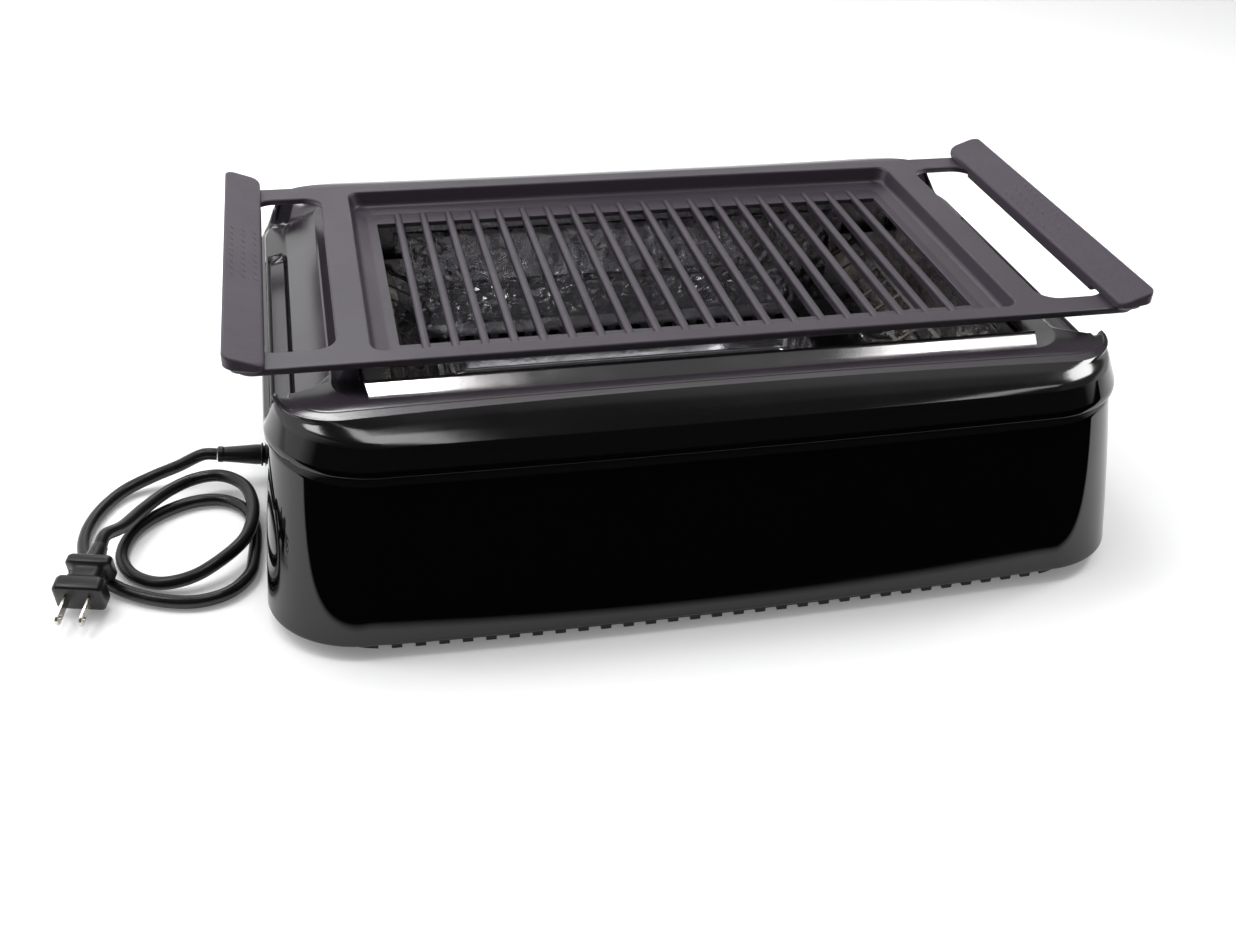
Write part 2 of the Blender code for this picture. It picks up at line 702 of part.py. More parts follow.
def base_plate():
    """The dark plinth: a floor with a rim that stands just inside the housing, posts and vents."""
    rim_x = FOOT_X - FOOT_ROLL - HOUSING_WALL - BASE_FIT
    rim_y = FOOT_Y - FOOT_ROLL - HOUSING_WALL - BASE_FIT
    inner_x = rim_x - BAND_IN_X - BASE_RIM_WALL
    inner_y = rim_y - BASE_RIM_WALL
    floor_top = BASE_FLOOR_Z + BASE_THICK
    rim_corner = (FOOT_CORNER_X - BASE_CORNER_IN, FOOT_CORNER_Y - BASE_CORNER_IN)
    band_corner = (BAND_CORNER_X, BAND_CORNER_Y)
    inner_corner = (BAND_CORNER_X - BASE_RIM_WALL, BAND_CORNER_Y - BASE_RIM_WALL)
    rings = [
        outline(inner_x, inner_y, *inner_corner, FOOT_BOW, BASE_FLOOR_Z),
        outline(inner_x, inner_y, *inner_corner, FOOT_BOW, BASE_RIM_Z),
        outline(rim_x - BAND_IN_X, rim_y, *band_corner, FOOT_BOW, BASE_RIM_Z),
        outline(rim_x - BAND_IN_X, rim_y, *band_corner, FOOT_BOW, BAND_TOP_Z),
        outline(rim_x, rim_y, *rim_corner, FOOT_BOW, BAND_TOP_Z + FIT),
        outline(rim_x, rim_y, *rim_corner, FOOT_BOW, BASE_RIM_TOP_Z),
        outline(inner_x, inner_y, *inner_corner, FOOT_BOW, BASE_RIM_TOP_Z),
        outline(inner_x, inner_y, *inner_corner, FOOT_BOW, floor_top),
    ]
    obj = from_bmesh("base_plate", lofted(rings, True, True), base_plastic())
    posts = bmesh.new()
    holes = bmesh.new()
    for sign_x in (-1, 1):
        for sign_y in (-1, 1):
            x = sign_x * (LINER_X - POST_IN_X)
            y = sign_y * (LINER_Y - POST_IN_Y)
            top = LINER_FLOOR_Z - FIT
            cylinder_mesh(posts, (x, y, BASE_FLOOR_Z + BASE_THICK / 2), (x, y, top), POST_RADIUS)
            low = BASE_RIM_Z - CUT_OVERRUN
            cylinder_mesh(holes, (x, y, low), (x, y, top + CUT_OVERRUN), SCREW_RADIUS + FIT)
    boolean(obj, from_bmesh("base_posts", posts, None), "UNION")
    boolean(obj, from_bmesh("base_post_holes", holes, None))
    notches = bmesh.new()
    for i in range(NOTCH_COUNT):
        x = (i - (NOTCH_COUNT - 1) / 2) * NOTCH_PITCH
        low_z = BASE_RIM_Z - CUT_OVERRUN
        for sign_y in (-1, 1):
            near = sign_y * (inner_y - CUT_OVERRUN)
            far = sign_y * (rim_y + FOOT_BOW + CUT_OVERRUN)
            low = (x - NOTCH_WIDTH / 2, min(near, far), low_z)
            high = (x + NOTCH_WIDTH / 2, max(near, far), BASE_RIM_Z + NOTCH_HEIGHT)
            box_mesh(notches, low, high)
    boolean(obj, from_bmesh("base_notches", notches, None))
    return obj


def feet_and_screws():
    """Four rubber pads under the floor and the four screws that hold the liner's posts."""
    corners = [("front_left", -1, -1), ("front_right", 1, -1), ("back_left", -1, 1), ("back_right", 1, 1)]
    for place, sign_x, sign_y in corners:
        bm = bmesh.new()
        height = BASE_FLOOR_Z - FIT
        cylinder_mesh(bm, (0, 0, 0), (0, 0, height), FOOT_PAD_RADIUS * 0.9, FOOT_PAD_RADIUS)
        pad = from_bmesh(f"foot_{place}", bm, soft_black())
        pad.location = (sign_x * (FOOT_X - FOOT_PAD_IN_X), sign_y * (FOOT_Y - FOOT_PAD_IN_Y), 0)
        bm = bmesh.new()
        head_z = BASE_FLOOR_Z - FIT
        cylinder_mesh(bm, (0, 0, head_z - SCREW_HEAD_THICK), (0, 0, head_z), SCREW_HEAD_RADIUS)
        screw = from_bmesh(f"base_screw_{place}", bm, dull_steel())
        shank = bmesh.new()
        top = LINER_FLOOR_Z - FIT - SCREW_RADIUS
        cylinder_mesh(shank, (0, 0, head_z - SCREW_HEAD_THICK / 2), (0, 0, top), SCREW_RADIUS)
        other = from_bmesh(f"base_shank_{place}", shank, None)
        boolean(screw, other, "UNION")
        for piece in (screw, other):
            piece.location = (sign_x * (LINER_X - POST_IN_X), sign_y * (LINER_Y - POST_IN_Y), 0)


def grill_grate():
    """The casting: flat border with arms, a stepped sunk floor and the cross bars."""
    slab = bmesh.new()
    low = (-GRIP_BAR_OUT_X, -GRATE_HALF_Y, GRATE_Z - GRATE_THICK)
    box_mesh(slab, low, (GRIP_BAR_OUT_X, GRATE_HALF_Y, GRATE_Z))
    upright = [e for e in slab.edges if abs(e.verts[0].co.z - e.verts[1].co.z) > FIT]
    bmesh.ops.bevel(slab, geom=upright, offset=GRATE_CORNER, segments=4, profile=0.5, affect="EDGES")
    grate = from_bmesh("grill_grate", slab, cast_grey())
    opens = bmesh.new()
    for sign in (-1, 1):
        xs = sorted((sign * GRATE_OPEN_X, sign * GRIP_BAR_X))
        box_mesh(
            opens,
            (xs[0], -GRATE_OPEN_Y, GRATE_Z - GRATE_THICK - CUT_OVERRUN),
            (xs[1], GRATE_OPEN_Y, GRATE_Z + CUT_OVERRUN),
        )
    upright = [e for e in opens.edges if abs(e.verts[0].co.z - e.verts[1].co.z) > FIT]
    bmesh.ops.bevel(opens, geom=upright, offset=OPEN_CORNER, segments=3, profile=0.5, affect="EDGES")
    boolean(grate, from_bmesh("grate_openings", opens, None))
    bevelled(grate, GRATE_EDGE, 2, math.radians(60))
    step_z = GRATE_Z - SUNK_STEP_DEPTH
    foot = (SUNK_X - SUNK_FOOT_IN, SUNK_Y - SUNK_FOOT_IN)
    step = (foot[0] - SUNK_STEP_IN, foot[1] - SUNK_STEP_IN)
    under_z = SUNK_FLOOR_Z - SUNK_WALL
    corner = (SUNK_CORNER, SUNK_CORNER)
    pan_rings = [
        outline(step[0] + SUNK_WALL, step[1] + SUNK_WALL, SUNK_CORNER, SUNK_CORNER, 0, under_z),
        outline(foot[0] + SUNK_WALL, foot[1] + SUNK_WALL, *corner, 0, step_z - SUNK_WALL / 2),
        outline(SUNK_X + SUNK_WALL, SUNK_Y + SUNK_WALL, *corner, 0, GRATE_Z - GRATE_THICK / 2),
    ]
    pan = from_bmesh("grate_pan", lofted(pan_rings, True, True), None)
    boolean(grate, pan, "UNION")
    sunk_rings = [
        outline(*step, SUNK_CORNER, SUNK_CORNER, 0, SUNK_FLOOR_Z),
        outline(*foot, SUNK_CORNER, SUNK_CORNER, 0, step_z),
        outline(SUNK_X, SUNK_Y, SUNK_CORNER, SUNK_CORNER, 0, GRATE_Z),
        outline(SUNK_X, SUNK_Y, SUNK_CORNER, SUNK_CORNER, 0, GRATE_Z + CUT_OVERRUN),
    ]
    boolean(grate, from_bmesh("grate_sunk", lofted(sunk_rings, True, True), None))
    window = bmesh.new()
    low = (-SLOT_HALF_X, -SLOT_HALF_Y, under_z - CUT_OVERRUN)
    box_mesh(window, low, (SLOT_HALF_X, SLOT_HALF_Y, SUNK_FLOOR_Z + CUT_OVERRUN))
    boolean(grate, from_bmesh("grate_window", window, None))
    bars = bmesh.new()
    half = BAR_WIDTH / 2
    bottom = SUNK_FLOOR_Z - BAR_HANG
    profile = [(-half * 0.7, bottom), (half * 0.7, bottom), (half, SUNK_FLOOR_Z)]
    for step_index in range(1, 4):
        angle = step_index * math.pi / 4
        profile.append((half * math.cos(angle), SUNK_FLOOR_Z + BAR_RISE * math.sin(angle)))
    profile.append((-half, SUNK_FLOOR_Z))
    for i in range(BAR_COUNT):
        x = -SLOT_HALF_X + BAR_GAP + half + i * BAR_PITCH
        prism_mesh(bars, profile, RIB_HALF_Y, lambda a, b, side, x=x: Vector((x + a, side, b)))
    boolean(grate, from_bmesh("grate_bars", bars, None), "UNION")
    rests = bmesh.new()
    for sign in (-1, 1):
        xs = sorted((sign * (REST_X - REST_THICK / 2), sign * (REST_X + REST_THICK / 2)))
        low = (xs[0], -REST_HALF_Y, REST_FLAT_Z + FIT)
        box_mesh(rests, low, (xs[1], REST_HALF_Y, GRATE_Z - GRATE_THICK / 2))
    boolean(grate, from_bmesh("grate_rests", rests, None), "UNION")
    return grate


def grip(name, sign):
    """A grip moulding: its top tilts up outwards, and a channel under it takes the grate's bar."""
    def height(x, inner, outer):
        return inner + (outer - inner) * (x - GRIP_INNER_X) / (GRIP_OUTER_X - GRIP_INNER_X)

    bm = bmesh.new()
    low = (GRIP_INNER_X, -GRIP_HALF_Y, 0)
    box_mesh(bm, low, (GRIP_OUTER_X, GRIP_HALF_Y, GRIP_TOP_OUT_Z))
    upright = [e for e in bm.edges if abs(e.verts[0].co.z - e.verts[1].co.z) > FIT]
    bmesh.ops.bevel(bm, geom=upright, offset=GRIP_CORNER, segments=4, profile=0.5, affect="EDGES")
    for vertex in bm.verts:
        top = vertex.co.z > GRIP_UNDER_IN_Z
        heights = (GRIP_TOP_IN_Z, GRIP_TOP_OUT_Z) if top else (GRIP_UNDER_IN_Z, GRIP_UNDER_OUT_Z)
        vertex.co.z = height(vertex.co.x, *heights)
        vertex.co.x *= sign
    obj = from_bmesh(name, bm, grip_grey())
    bevelled(obj, GRIP_EDGE, 2, math.radians(45))
    channel = bmesh.new()
    xs = sorted((sign * (GRIP_BAR_X - FIT), sign * (GRIP_BAR_OUT_X + FIT)))
    reach = GRATE_HALF_Y + FIT
    low = (xs[0], -reach, GRIP_UNDER_IN_Z - CUT_OVERRUN)
    box_mesh(channel, low, (xs[1], reach, GRATE_Z + FIT))
    arms = sorted((sign * (GRIP_INNER_X - CUT_OVERRUN), sign * (GRIP_BAR_X + GRIP_BAR_WIDTH / 2)))
    boolean(obj, from_bmesh(f"{name}_channel", channel, None))
    for side in (-1, 1):
        slot = bmesh.new()
        ys = sorted((side * (GRATE_OPEN_Y - OPEN_CORNER), side * reach))
        box_mesh(slot, (arms[0], ys[0], GRIP_UNDER_IN_Z - CUT_OVERRUN), (arms[1], ys[1], GRATE_Z + FIT))
        boolean(obj, from_bmesh(f"{name}_arm_slot_{side + 1}", slot, None))
    return obj


def handles():
    """Both grips and the screws that hold each to the grate's bar from below."""
    grate = bpy.data.objects["grill_grate"]
    for word, sign in (("left", -1), ("right", 1)):
        handle = grip(f"{word}_handle", sign)
        for place, side in (("front", -1), ("back", 1)):
            x = sign * (GRIP_BAR_X + GRIP_BAR_OUT_X) / 2
            y = side * GRATE_HALF_Y * GRIP_SCREW_SHARE
            head_top = GRATE_Z - GRATE_THICK - FIT
            tip = head_top + GRIP_SCREW_LENGTH
            hole = bmesh.new()
            low_z = head_top - CUT_OVERRUN
            cylinder_mesh(hole, (x, y, low_z), (x, y, tip + FIT), SCREW_RADIUS + FIT)
            cutter = from_bmesh(f"{word}_{place}_grip_hole", hole, None)
            boolean(grate, cutter)
            boolean(handle, cutter)
            bm = bmesh.new()
            cylinder_mesh(bm, (0, 0, -SCREW_HEAD_THICK), (0, 0, 0), SCREW_HEAD_RADIUS)
            screw = from_bmesh(f"{word}_handle_screw_{place}", bm, dull_steel())
            shank = bmesh.new()
            cylinder_mesh(shank, (0, 0, -SCREW_HEAD_THICK / 2), (0, 0, GRIP_SCREW_LENGTH), SCREW_RADIUS)
            other = from_bmesh(f"{word}_{place}_grip_shank", shank, None)
            boolean(screw, other, "UNION")
            for piece in (screw, other):
                piece.location = (x, y, head_top)


def liner():
    """The sheet-metal box that hangs in the mouth, with rows of vents in its long sides."""
    inner = (LINER_X - SHEET, LINER_Y - SHEET, LINER_CORNER - SHEET, LINER_CORNER - SHEET, 0)
    outer = (LINER_X, LINER_Y, LINER_CORNER, LINER_CORNER, 0)
    rings = [
        outline(*outer, LINER_FLOOR_Z),
        outline(*outer, LINER_TOP_Z),
        outline(*inner, LINER_TOP_Z),
        outline(*inner, LINER_FLOOR_Z + SHEET),
    ]
    obj = from_bmesh("inner_liner", lofted(rings, True, True), bright_sheet())
    vents = bmesh.new()
    for i in range(VENT_COUNT):
        x = (i - (VENT_COUNT - 1) / 2) * VENT_PITCH
        low_z = LINER_FLOOR_Z + VENT_RISE
        low = (x - VENT_WIDTH / 2, -LINER_Y - CUT_OVERRUN, low_z)
        box_mesh(vents, low, (x + VENT_WIDTH / 2, LINER_Y + CUT_OVERRUN, low_z + VENT_HEIGHT))
    boolean(obj, from_bmesh("liner_vents", vents, None))
    return obj


def long_reflector(name, sign):
    """A folded bright sheet that lines a long side above the tray."""
    top_y = LINER_Y - SHEET - SHEET
    waist_z = LONG_REFLECTOR_FOOT_Z + LONG_REFLECTOR_HEIGHT * LONG_REFLECTOR_WAIST
    path = [
        (top_y, LONG_REFLECTOR_TOP_Z),
        (top_y - LONG_REFLECTOR_LEAN, waist_z + LONG_REFLECTOR_FOLD),
        (top_y - LONG_REFLECTOR_FOLD / 2, waist_z),
        (top_y - LONG_REFLECTOR_LEAN, waist_z - LONG_REFLECTOR_FOLD),
        (top_y, LONG_REFLECTOR_FOOT_Z),
    ]
    bm = bmesh.new()
    profile = sheet_profile(path, SHEET)
    prism_mesh(bm, profile, LONG_REFLECTOR_HALF_X, lambda a, b, side: Vector((side, sign * a, b)))
    return from_bmesh(name, bm, bright_sheet())


def trough_reflector(name, sign):
    """A curved bright trough round a heater, with end plates that take the ceramic caps."""
    wall = HEATER_X + TROUGH_RADIUS + SHEET / 2
    path = [(wall, TROUGH_TOP_Z), (wall, HEATER_Z)]
    for step in range(1, TROUGH_STEPS + 1):
        angle = -TROUGH_WRAP * step / TROUGH_STEPS
        reach = TROUGH_RADIUS + SHEET / 2
        path.append((HEATER_X + reach * math.cos(angle), HEATER_Z + reach * math.sin(angle)))
    bm = bmesh.new()
    profile = sheet_profile(path, SHEET)
    prism_mesh(bm, profile, TROUGH_HALF_Y, lambda a, b, side: Vector((sign * a, side, b)))
    obj = from_bmesh(name, bm, bright_sheet())
    for place in (-1, 1):
        plate = bmesh.new()
        ys = sorted((place * (TROUGH_HALF_Y - SHEET), place * TROUGH_HALF_Y))
        xs = sorted((sign * (HEATER_X - TROUGH_RADIUS * 0.8), sign * (wall - SHEET / 4)))
        low = (xs[0], ys[0], HEATER_Z - TROUGH_RADIUS * 0.6)
        box_mesh(plate, low, (xs[1], ys[1], HEATER_Z + TROUGH_RADIUS))
        boolean(obj, from_bmesh(f"{name}_plate_{place + 1}", plate, None), "UNION")
    holes = bmesh.new()
    for place in (-1, 1):
        ys = (place * (TROUGH_HALF_Y - SHEET - CUT_OVERRUN), place * (TROUGH_HALF_Y + CUT_OVERRUN))
        x = sign * HEATER_X
        cylinder_mesh(holes, (x, ys[0], HEATER_Z), (x, ys[1], HEATER_Z), CAP_RADIUS + FIT)
    boolean(obj, from_bmesh(f"{name}_holes", holes, None))
    return obj


def heater(word, sign):
    """A quartz tube between two ceramic caps, and the slotted guard in front of it."""
    x = sign * HEATER_X
    bm = bmesh.new()
    cylinder_mesh(bm, (0, -HEATER_HALF_Y, 0), (0, HEATER_HALF_Y, 0), HEATER_RADIUS)
    rod = from_bmesh(f"{word}_heater_tube", bm, quartz())
    rod.location = (x, 0, HEATER_Z)
    for place, side in (("front", -1), ("back", 1)):
        inner = side * (HEATER_HALF_Y - CAP_OVERLAP)
        outer = side * CAP_END_Y
        bm = bmesh.new()
        cylinder_mesh(bm, (0, inner, 0), (0, outer, 0), CAP_RADIUS)
        cap = from_bmesh(f"{word}_heater_cap_{place}", bm, ceramic_white())
        bore = bmesh.new()
        ends = (side * (HEATER_HALF_Y - CAP_OVERLAP - CUT_OVERRUN), side * (HEATER_HALF_Y + FIT))
        cylinder_mesh(bore, (0, ends[0], 0), (0, ends[1], 0), HEATER_RADIUS + FIT)
        other = from_bmesh(f"{word}_{place}_cap_bore", bore, None)
        boolean(cap, other)
        for piece in (cap, other):
            piece.location = (x, 0, HEATER_Z)
    half = TROUGH_HALF_Y - SHEET - FIT
    bm = bmesh.new()
    box_mesh(bm, (-GUARD_WIDTH / 2, -half, -SHEET / 2), (GUARD_WIDTH / 2, half, SHEET / 2))
    guard = from_bmesh(f"{word}_heater_guard", bm, bright_sheet())
    slots = bmesh.new()
    pitch = (2 * half - GUARD_RAIL) / GUARD_SLOTS
    for i in range(GUARD_SLOTS):
        y = -half + GUARD_RAIL + i * pitch
        low = (-GUARD_WIDTH / 2 + GUARD_RAIL, y, -CUT_OVERRUN)
        box_mesh(slots, low, (GUARD_WIDTH / 2 - GUARD_RAIL, y + pitch - GUARD_RIB, CUT_OVERRUN))
    other = from_bmesh(f"{word}_guard_slots", slots, None)
    boolean(guard, other)
    lift = Vector((math.sin(GUARD_TILT) * GUARD_OFF, 0, math.cos(GUARD_TILT) * GUARD_OFF))
    for piece in (guard, other):
        piece.location = (x + sign * lift.x, 0, HEATER_Z + lift.z)
        piece.rotation_euler = (0, sign * GUARD_TILT, 0)


def drip_tray():
    """A bright pan with rounded corners and a turned-out lip, loose on the liner's floor."""
    low_z = LINER_FLOOR_Z + SHEET + FIT
    top_z = low_z + TRAY_HEIGHT
    wide = (TRAY_X + TRAY_FLARE, TRAY_Y + TRAY_FLARE)
    rings = [
        outline(TRAY_X, TRAY_Y, TRAY_CORNER, TRAY_CORNER, 0, low_z),
        outline(*wide, TRAY_CORNER, TRAY_CORNER, 0, top_z - TRAY_WALL),
        outline(wide[0] + TRAY_LIP, wide[1] + TRAY_LIP, TRAY_CORNER, TRAY_CORNER, 0, top_z - TRAY_WALL),
        outline(wide[0] + TRAY_LIP, wide[1] + TRAY_LIP, TRAY_CORNER, TRAY_CORNER, 0, top_z),
        outline(wide[0] - TRAY_WALL, wide[1] - TRAY_WALL, TRAY_CORNER, TRAY_CORNER, 0, top_z),
        outline(TRAY_X - TRAY_WALL, TRAY_Y - TRAY_WALL, TRAY_CORNER, TRAY_CORNER, 0, low_z + TRAY_WALL),
    ]
    return from_bmesh("drip_tray", lofted(rings, True, True), bright_sheet())


def switch():
    """A rocker switch in the right wall; the rocker turns about a pin across its well."""
    mount = bpy.data.objects.new("switch_place", None)
    PARTS.objects.link(mount)
    mount.location = (wall_x(SWITCH_Z), SWITCH_Y, SWITCH_Z)
    mount.rotation_euler = (0, -WALL_LEAN, 0)
    low = -(HOUSING_WALL + SWITCH_BODY_DEPTH)
    bm = bmesh.new()
    box_mesh(
        bm,
        (BELLY, -BEZEL_WIDTH / 2, -BEZEL_HEIGHT / 2),
        (BELLY + BEZEL_THICK, BEZEL_WIDTH / 2, BEZEL_HEIGHT / 2),
    )
    housing = from_bmesh("switch_housing", bm, soft_black())
    bevelled(housing, BEZEL_THICK / 4, 2, math.radians(45))
    body = bmesh.new()
    half = (SWITCH_BODY_WIDTH / 2, SWITCH_BODY_HEIGHT / 2)
    box_mesh(body, (low, -half[0], -half[1]), (BELLY + BEZEL_THICK / 2, *half))
    boolean(housing, from_bmesh("switch_body", body, None), "UNION")
    well = bmesh.new()
    half = (SWITCH_WELL_WIDTH / 2, SWITCH_WELL_HEIGHT / 2)
    box_mesh(well, (-SWITCH_WELL_DEPTH, -half[0], -half[1]), (BEZEL_THICK + CUT_OVERRUN, *half))
    boolean(housing, from_bmesh("switch_well", well, None))
    opening = bmesh.new()
    half = (SWITCH_BODY_WIDTH / 2 + FIT, SWITCH_BODY_HEIGHT / 2 + FIT)
    low_x = -HOUSING_WALL - CUT_OVERRUN
    box_mesh(opening, (low_x, -half[0], -half[1]), (CUT_OVERRUN, *half))
    hole = from_bmesh("switch_opening", opening, None)
    boolean(bpy.data.objects["lower_housing"], hole)
    reach = SWITCH_WELL_HEIGHT / 2 - 3 * FIT
    proud = BELLY + BEZEL_THICK + ROCKER_PROUD
    root = SWITCH_WELL_DEPTH * 0.35
    profile = [
        (-root, -reach * 0.55),
        (0, -reach),
        (proud - ROCKER_CROWN * 0.4, -reach),
        (proud - ROCKER_CROWN, 0),
        (proud - ROCKER_CROWN * 0.4, reach),
        (0, reach),
        (-root, reach * 0.55),
    ]
    bm = bmesh.new()
    width = SWITCH_WELL_WIDTH / 2 - FIT
    prism_mesh(bm, profile, width, lambda a, b, side: Vector((a, side, b)))
    rocker = from_bmesh("switch_rocker", bm, soft_black())
    rocker.rotation_euler = (0, ROCKER_REST, 0)
    for piece in (housing, hole, rocker):
        piece.parent = mount
    for name in ("switch_body", "switch_well"):
        bpy.data.objects[name].parent = mount


def wiring():
    """Terminal block, thermal cut-out and the leads that join them to the switch and heaters."""
    floor = BASE_FLOOR_Z + BASE_THICK + FIT
    bm = bmesh.new()
    half = (TERMINAL_WIDTH / 2, TERMINAL_LENGTH / 2)
    box_mesh(bm, (-half[0], -half[1], 0), (*half, TERMINAL_HEIGHT))
    block = from_bmesh("terminal_block", bm, ceramic_white())
    block.location = (TERMINAL_X, TERMINAL_Y, floor)
    bevelled(block, TERMINAL_HEIGHT / 10)
    start = LINER_X + FIT
    bm = bmesh.new()
    cylinder_mesh(bm, (0, 0, 0), (CUTOUT_THICK, 0, 0), CUTOUT_RADIUS)
    cutout = from_bmesh("thermal_cutout", bm, dull_steel())
    cutout.location = (start, CUTOUT_Y, CUTOUT_Z)
    gap = LEAD_RADIUS + FIT
    back = LINER_Y + (FOOT_Y - LINER_Y) * 0.35
    top = floor + TERMINAL_HEIGHT + gap
    side_left = TERMINAL_X
    side_right = LINER_X + (SEAM_X - LINER_X) * 0.4
    lane_z = top + 6 * LEAD_RADIUS
    switch_x = wall_x(SWITCH_Z) - HOUSING_WALL - SWITCH_BODY_DEPTH - gap
    line = [
        (side_left, TERMINAL_Y + TERMINAL_LENGTH / 4, top),
        (side_left, TERMINAL_Y + TERMINAL_LENGTH, lane_z),
        (side_left, back - TERMINAL_WIDTH, lane_z),
        (side_left + TERMINAL_WIDTH, back, lane_z),
        (0, back, lane_z),
        (side_right - TERMINAL_WIDTH / 2, back, lane_z),
        (side_right, back - TERMINAL_WIDTH, lane_z),
        (side_right, CUTOUT_Y + TERMINAL_LENGTH, SWITCH_Z),
        (side_right, SWITCH_Y + TERMINAL_WIDTH, SWITCH_Z + gap),
        (switch_x, SWITCH_Y + gap, SWITCH_Z + gap),
    ]
    tube("line_lead", smooth_route(line, 40), LEAD_RADIUS, soft_black(), 1)
    neutral = [
        (side_left, TERMINAL_Y - TERMINAL_LENGTH / 4, top),
        (side_left, TERMINAL_Y - TERMINAL_LENGTH, lane_z),
        (side_left, -back + TERMINAL_LENGTH * 2, lane_z),
        (side_left, -LINER_Y + LEAD_RADIUS * 4, HEATER_Z - TERMINAL_LENGTH),
        (side_left + TERMINAL_WIDTH, -LINER_Y - gap - LEAD_RADIUS, HEATER_Z - gap),
        (-HEATER_X, -LINER_Y - gap - LEAD_RADIUS, HEATER_Z),
    ]
    tube("neutral_lead", smooth_route(neutral, 26), LEAD_RADIUS, soft_black(), 1)


CORD_EXIT_Z = BASE_RIM_TOP_Z + CORD_EXIT_UP + RELIEF_STUB_RADIUS
RELIEF_AT = Vector((-wall_x(CORD_EXIT_Z), CORD_EXIT_Y, CORD_EXIT_Z))
RELIEF_OUT = Vector((-math.cos(WALL_LEAN), 0, math.sin(WALL_LEAN)))
CORD_START = RELIEF_AT + RELIEF_OUT * (BELLY + RELIEF_FLANGE_THICK + RELIEF_LENGTH + FIT)

# The lead's route, chosen by hand from the strain relief to the plug: how far each point is out
# from the housing's foot, its y from the exit, and its lift off the table in cord diameters
CORD_ROUTE = [
    (0.0510, 0.0010, 1.34),
    (0.0660, 0.0005, 0.62),
    (0.0830, -0.0070, 0.14),
    (0.0960, -0.0260, 0.03),
    (0.1020, -0.0480, 0.03),
    (0.1010, -0.0680, 0.03),
    (0.0940, -0.0850, 0.03),
    (0.0830, -0.0990, 0.03),
    (0.0700, -0.1095, 0.03),
    (0.0540, -0.1175, 0.03),
    (0.0370, -0.1205, 0.03),
    (0.0210, -0.1155, 0.03),
    (0.0100, -0.1020, 0.03),
    (0.0070, -0.0850, 0.03),
    (0.0070, -0.0540, 0.03),
    (0.0130, -0.0360, 0.03),
    (0.0250, -0.0255, 0.03),
    (0.0400, -0.0240, 0.03),
    (0.0560, -0.0305, 0.03),
    (0.0705, -0.0430, 0.03),
    (0.0785, -0.0585, 0.03),
    (0.0800, -0.0760, 0.03),
    (0.0725, -0.0925, 0.06),
    (0.0575, -0.1030, 0.22),
    (0.0400, -0.1030, 0.56),
    (0.0240, -0.0935, 0.95),
    (0.0120, -0.0790, 1.14),
    (0.0073, -0.0610, 1.14),
    (0.0073, -0.0400, 1.14),
    (0.0130, -0.0220, 1.14),
    (0.0260, -0.0110, 1.14),
    (0.0400, -0.0120, 1.14),
    (0.0550, -0.0220, 1.14),
    (0.0690, -0.0390, 1.14),
    (0.0795, -0.0590, 1.47),
]
PLUG_OUT = 0.0985
PLUG_FRONT = -0.1190
PLUG_LIFT = 1.14
PLUG_FACE_AT = Vector((
    -FOOT_X - PLUG_OUT,
    CORD_EXIT_Y + PLUG_FRONT,
    CORD_DIAMETER * (PLUG_LIFT + 0.5),
))
PLUG_AIM = math.radians(-104)
PLUG_DIP = math.radians(10)
PLUG_BODY_LENGTH = PLUG_FACE_LENGTH + PLUG_WAIST_LENGTH + PLUG_COLLAR_LENGTH


def mains_lead():
    """Strain relief in the left wall, the lead on the table, and its two-blade plug."""
    bm = bmesh.new()
    cylinder_mesh(bm, (0, 0, 0), (-RELIEF_FLANGE_THICK, 0, 0), RELIEF_FLANGE_RADIUS)
    relief = from_bmesh("cord_strain_relief", bm, soft_black())
    sleeve = bmesh.new()
    cylinder_mesh(
        sleeve,
        (-RELIEF_FLANGE_THICK / 2, 0, 0),
        (-RELIEF_FLANGE_THICK - RELIEF_LENGTH, 0, 0),
        RELIEF_ROOT_RADIUS,
        RELIEF_TIP_RADIUS,
    )
    sleeve_piece = from_bmesh("relief_sleeve", sleeve, None)
    boolean(relief, sleeve_piece, "UNION")
    stub = bmesh.new()
    reach = HOUSING_WALL + BELLY + RELIEF_STUB_LENGTH
    cylinder_mesh(stub, (-RELIEF_FLANGE_THICK / 2, 0, 0), (reach, 0, 0), RELIEF_STUB_RADIUS)
    stub_piece = from_bmesh("relief_stub", stub, None)
    boolean(relief, stub_piece, "UNION")
    hole = bmesh.new()
    cylinder_mesh(hole, (-CUT_OVERRUN, 0, 0), (reach, 0, 0), RELIEF_STUB_RADIUS + FIT)
    hole_piece = from_bmesh("relief_hole", hole, None)
    boolean(bpy.data.objects["lower_housing"], hole_piece)
    for piece in (relief, sleeve_piece, stub_piece, hole_piece):
        piece.location = RELIEF_AT + RELIEF_OUT * BELLY
        piece.rotation_euler = (0, WALL_LEAN, 0)
    flat = math.cos(PLUG_DIP)
    aim = Vector((math.cos(PLUG_AIM) * flat, math.sin(PLUG_AIM) * flat, -math.sin(PLUG_DIP)))
    neck_end = PLUG_FACE_AT - aim * (PLUG_BODY_LENGTH + PLUG_NECK_LENGTH)
    into = [CORD_START, CORD_START + RELIEF_OUT * CORD_DIAMETER]
    out = [neck_end - aim * (CORD_DIAMETER + FIT), neck_end - aim * FIT]
    middle = []
    for away, along, lift in CORD_ROUTE:
        middle.append(Vector((-FOOT_X - away, CORD_EXIT_Y + along, CORD_DIAMETER * (lift + 0.5))))
    route = into + middle + out
    points = smooth_route(route, CORD_POINTS)
    tube("power_cord", points, CORD_DIAMETER / 2, soft_black(), 2)
    plug(aim)


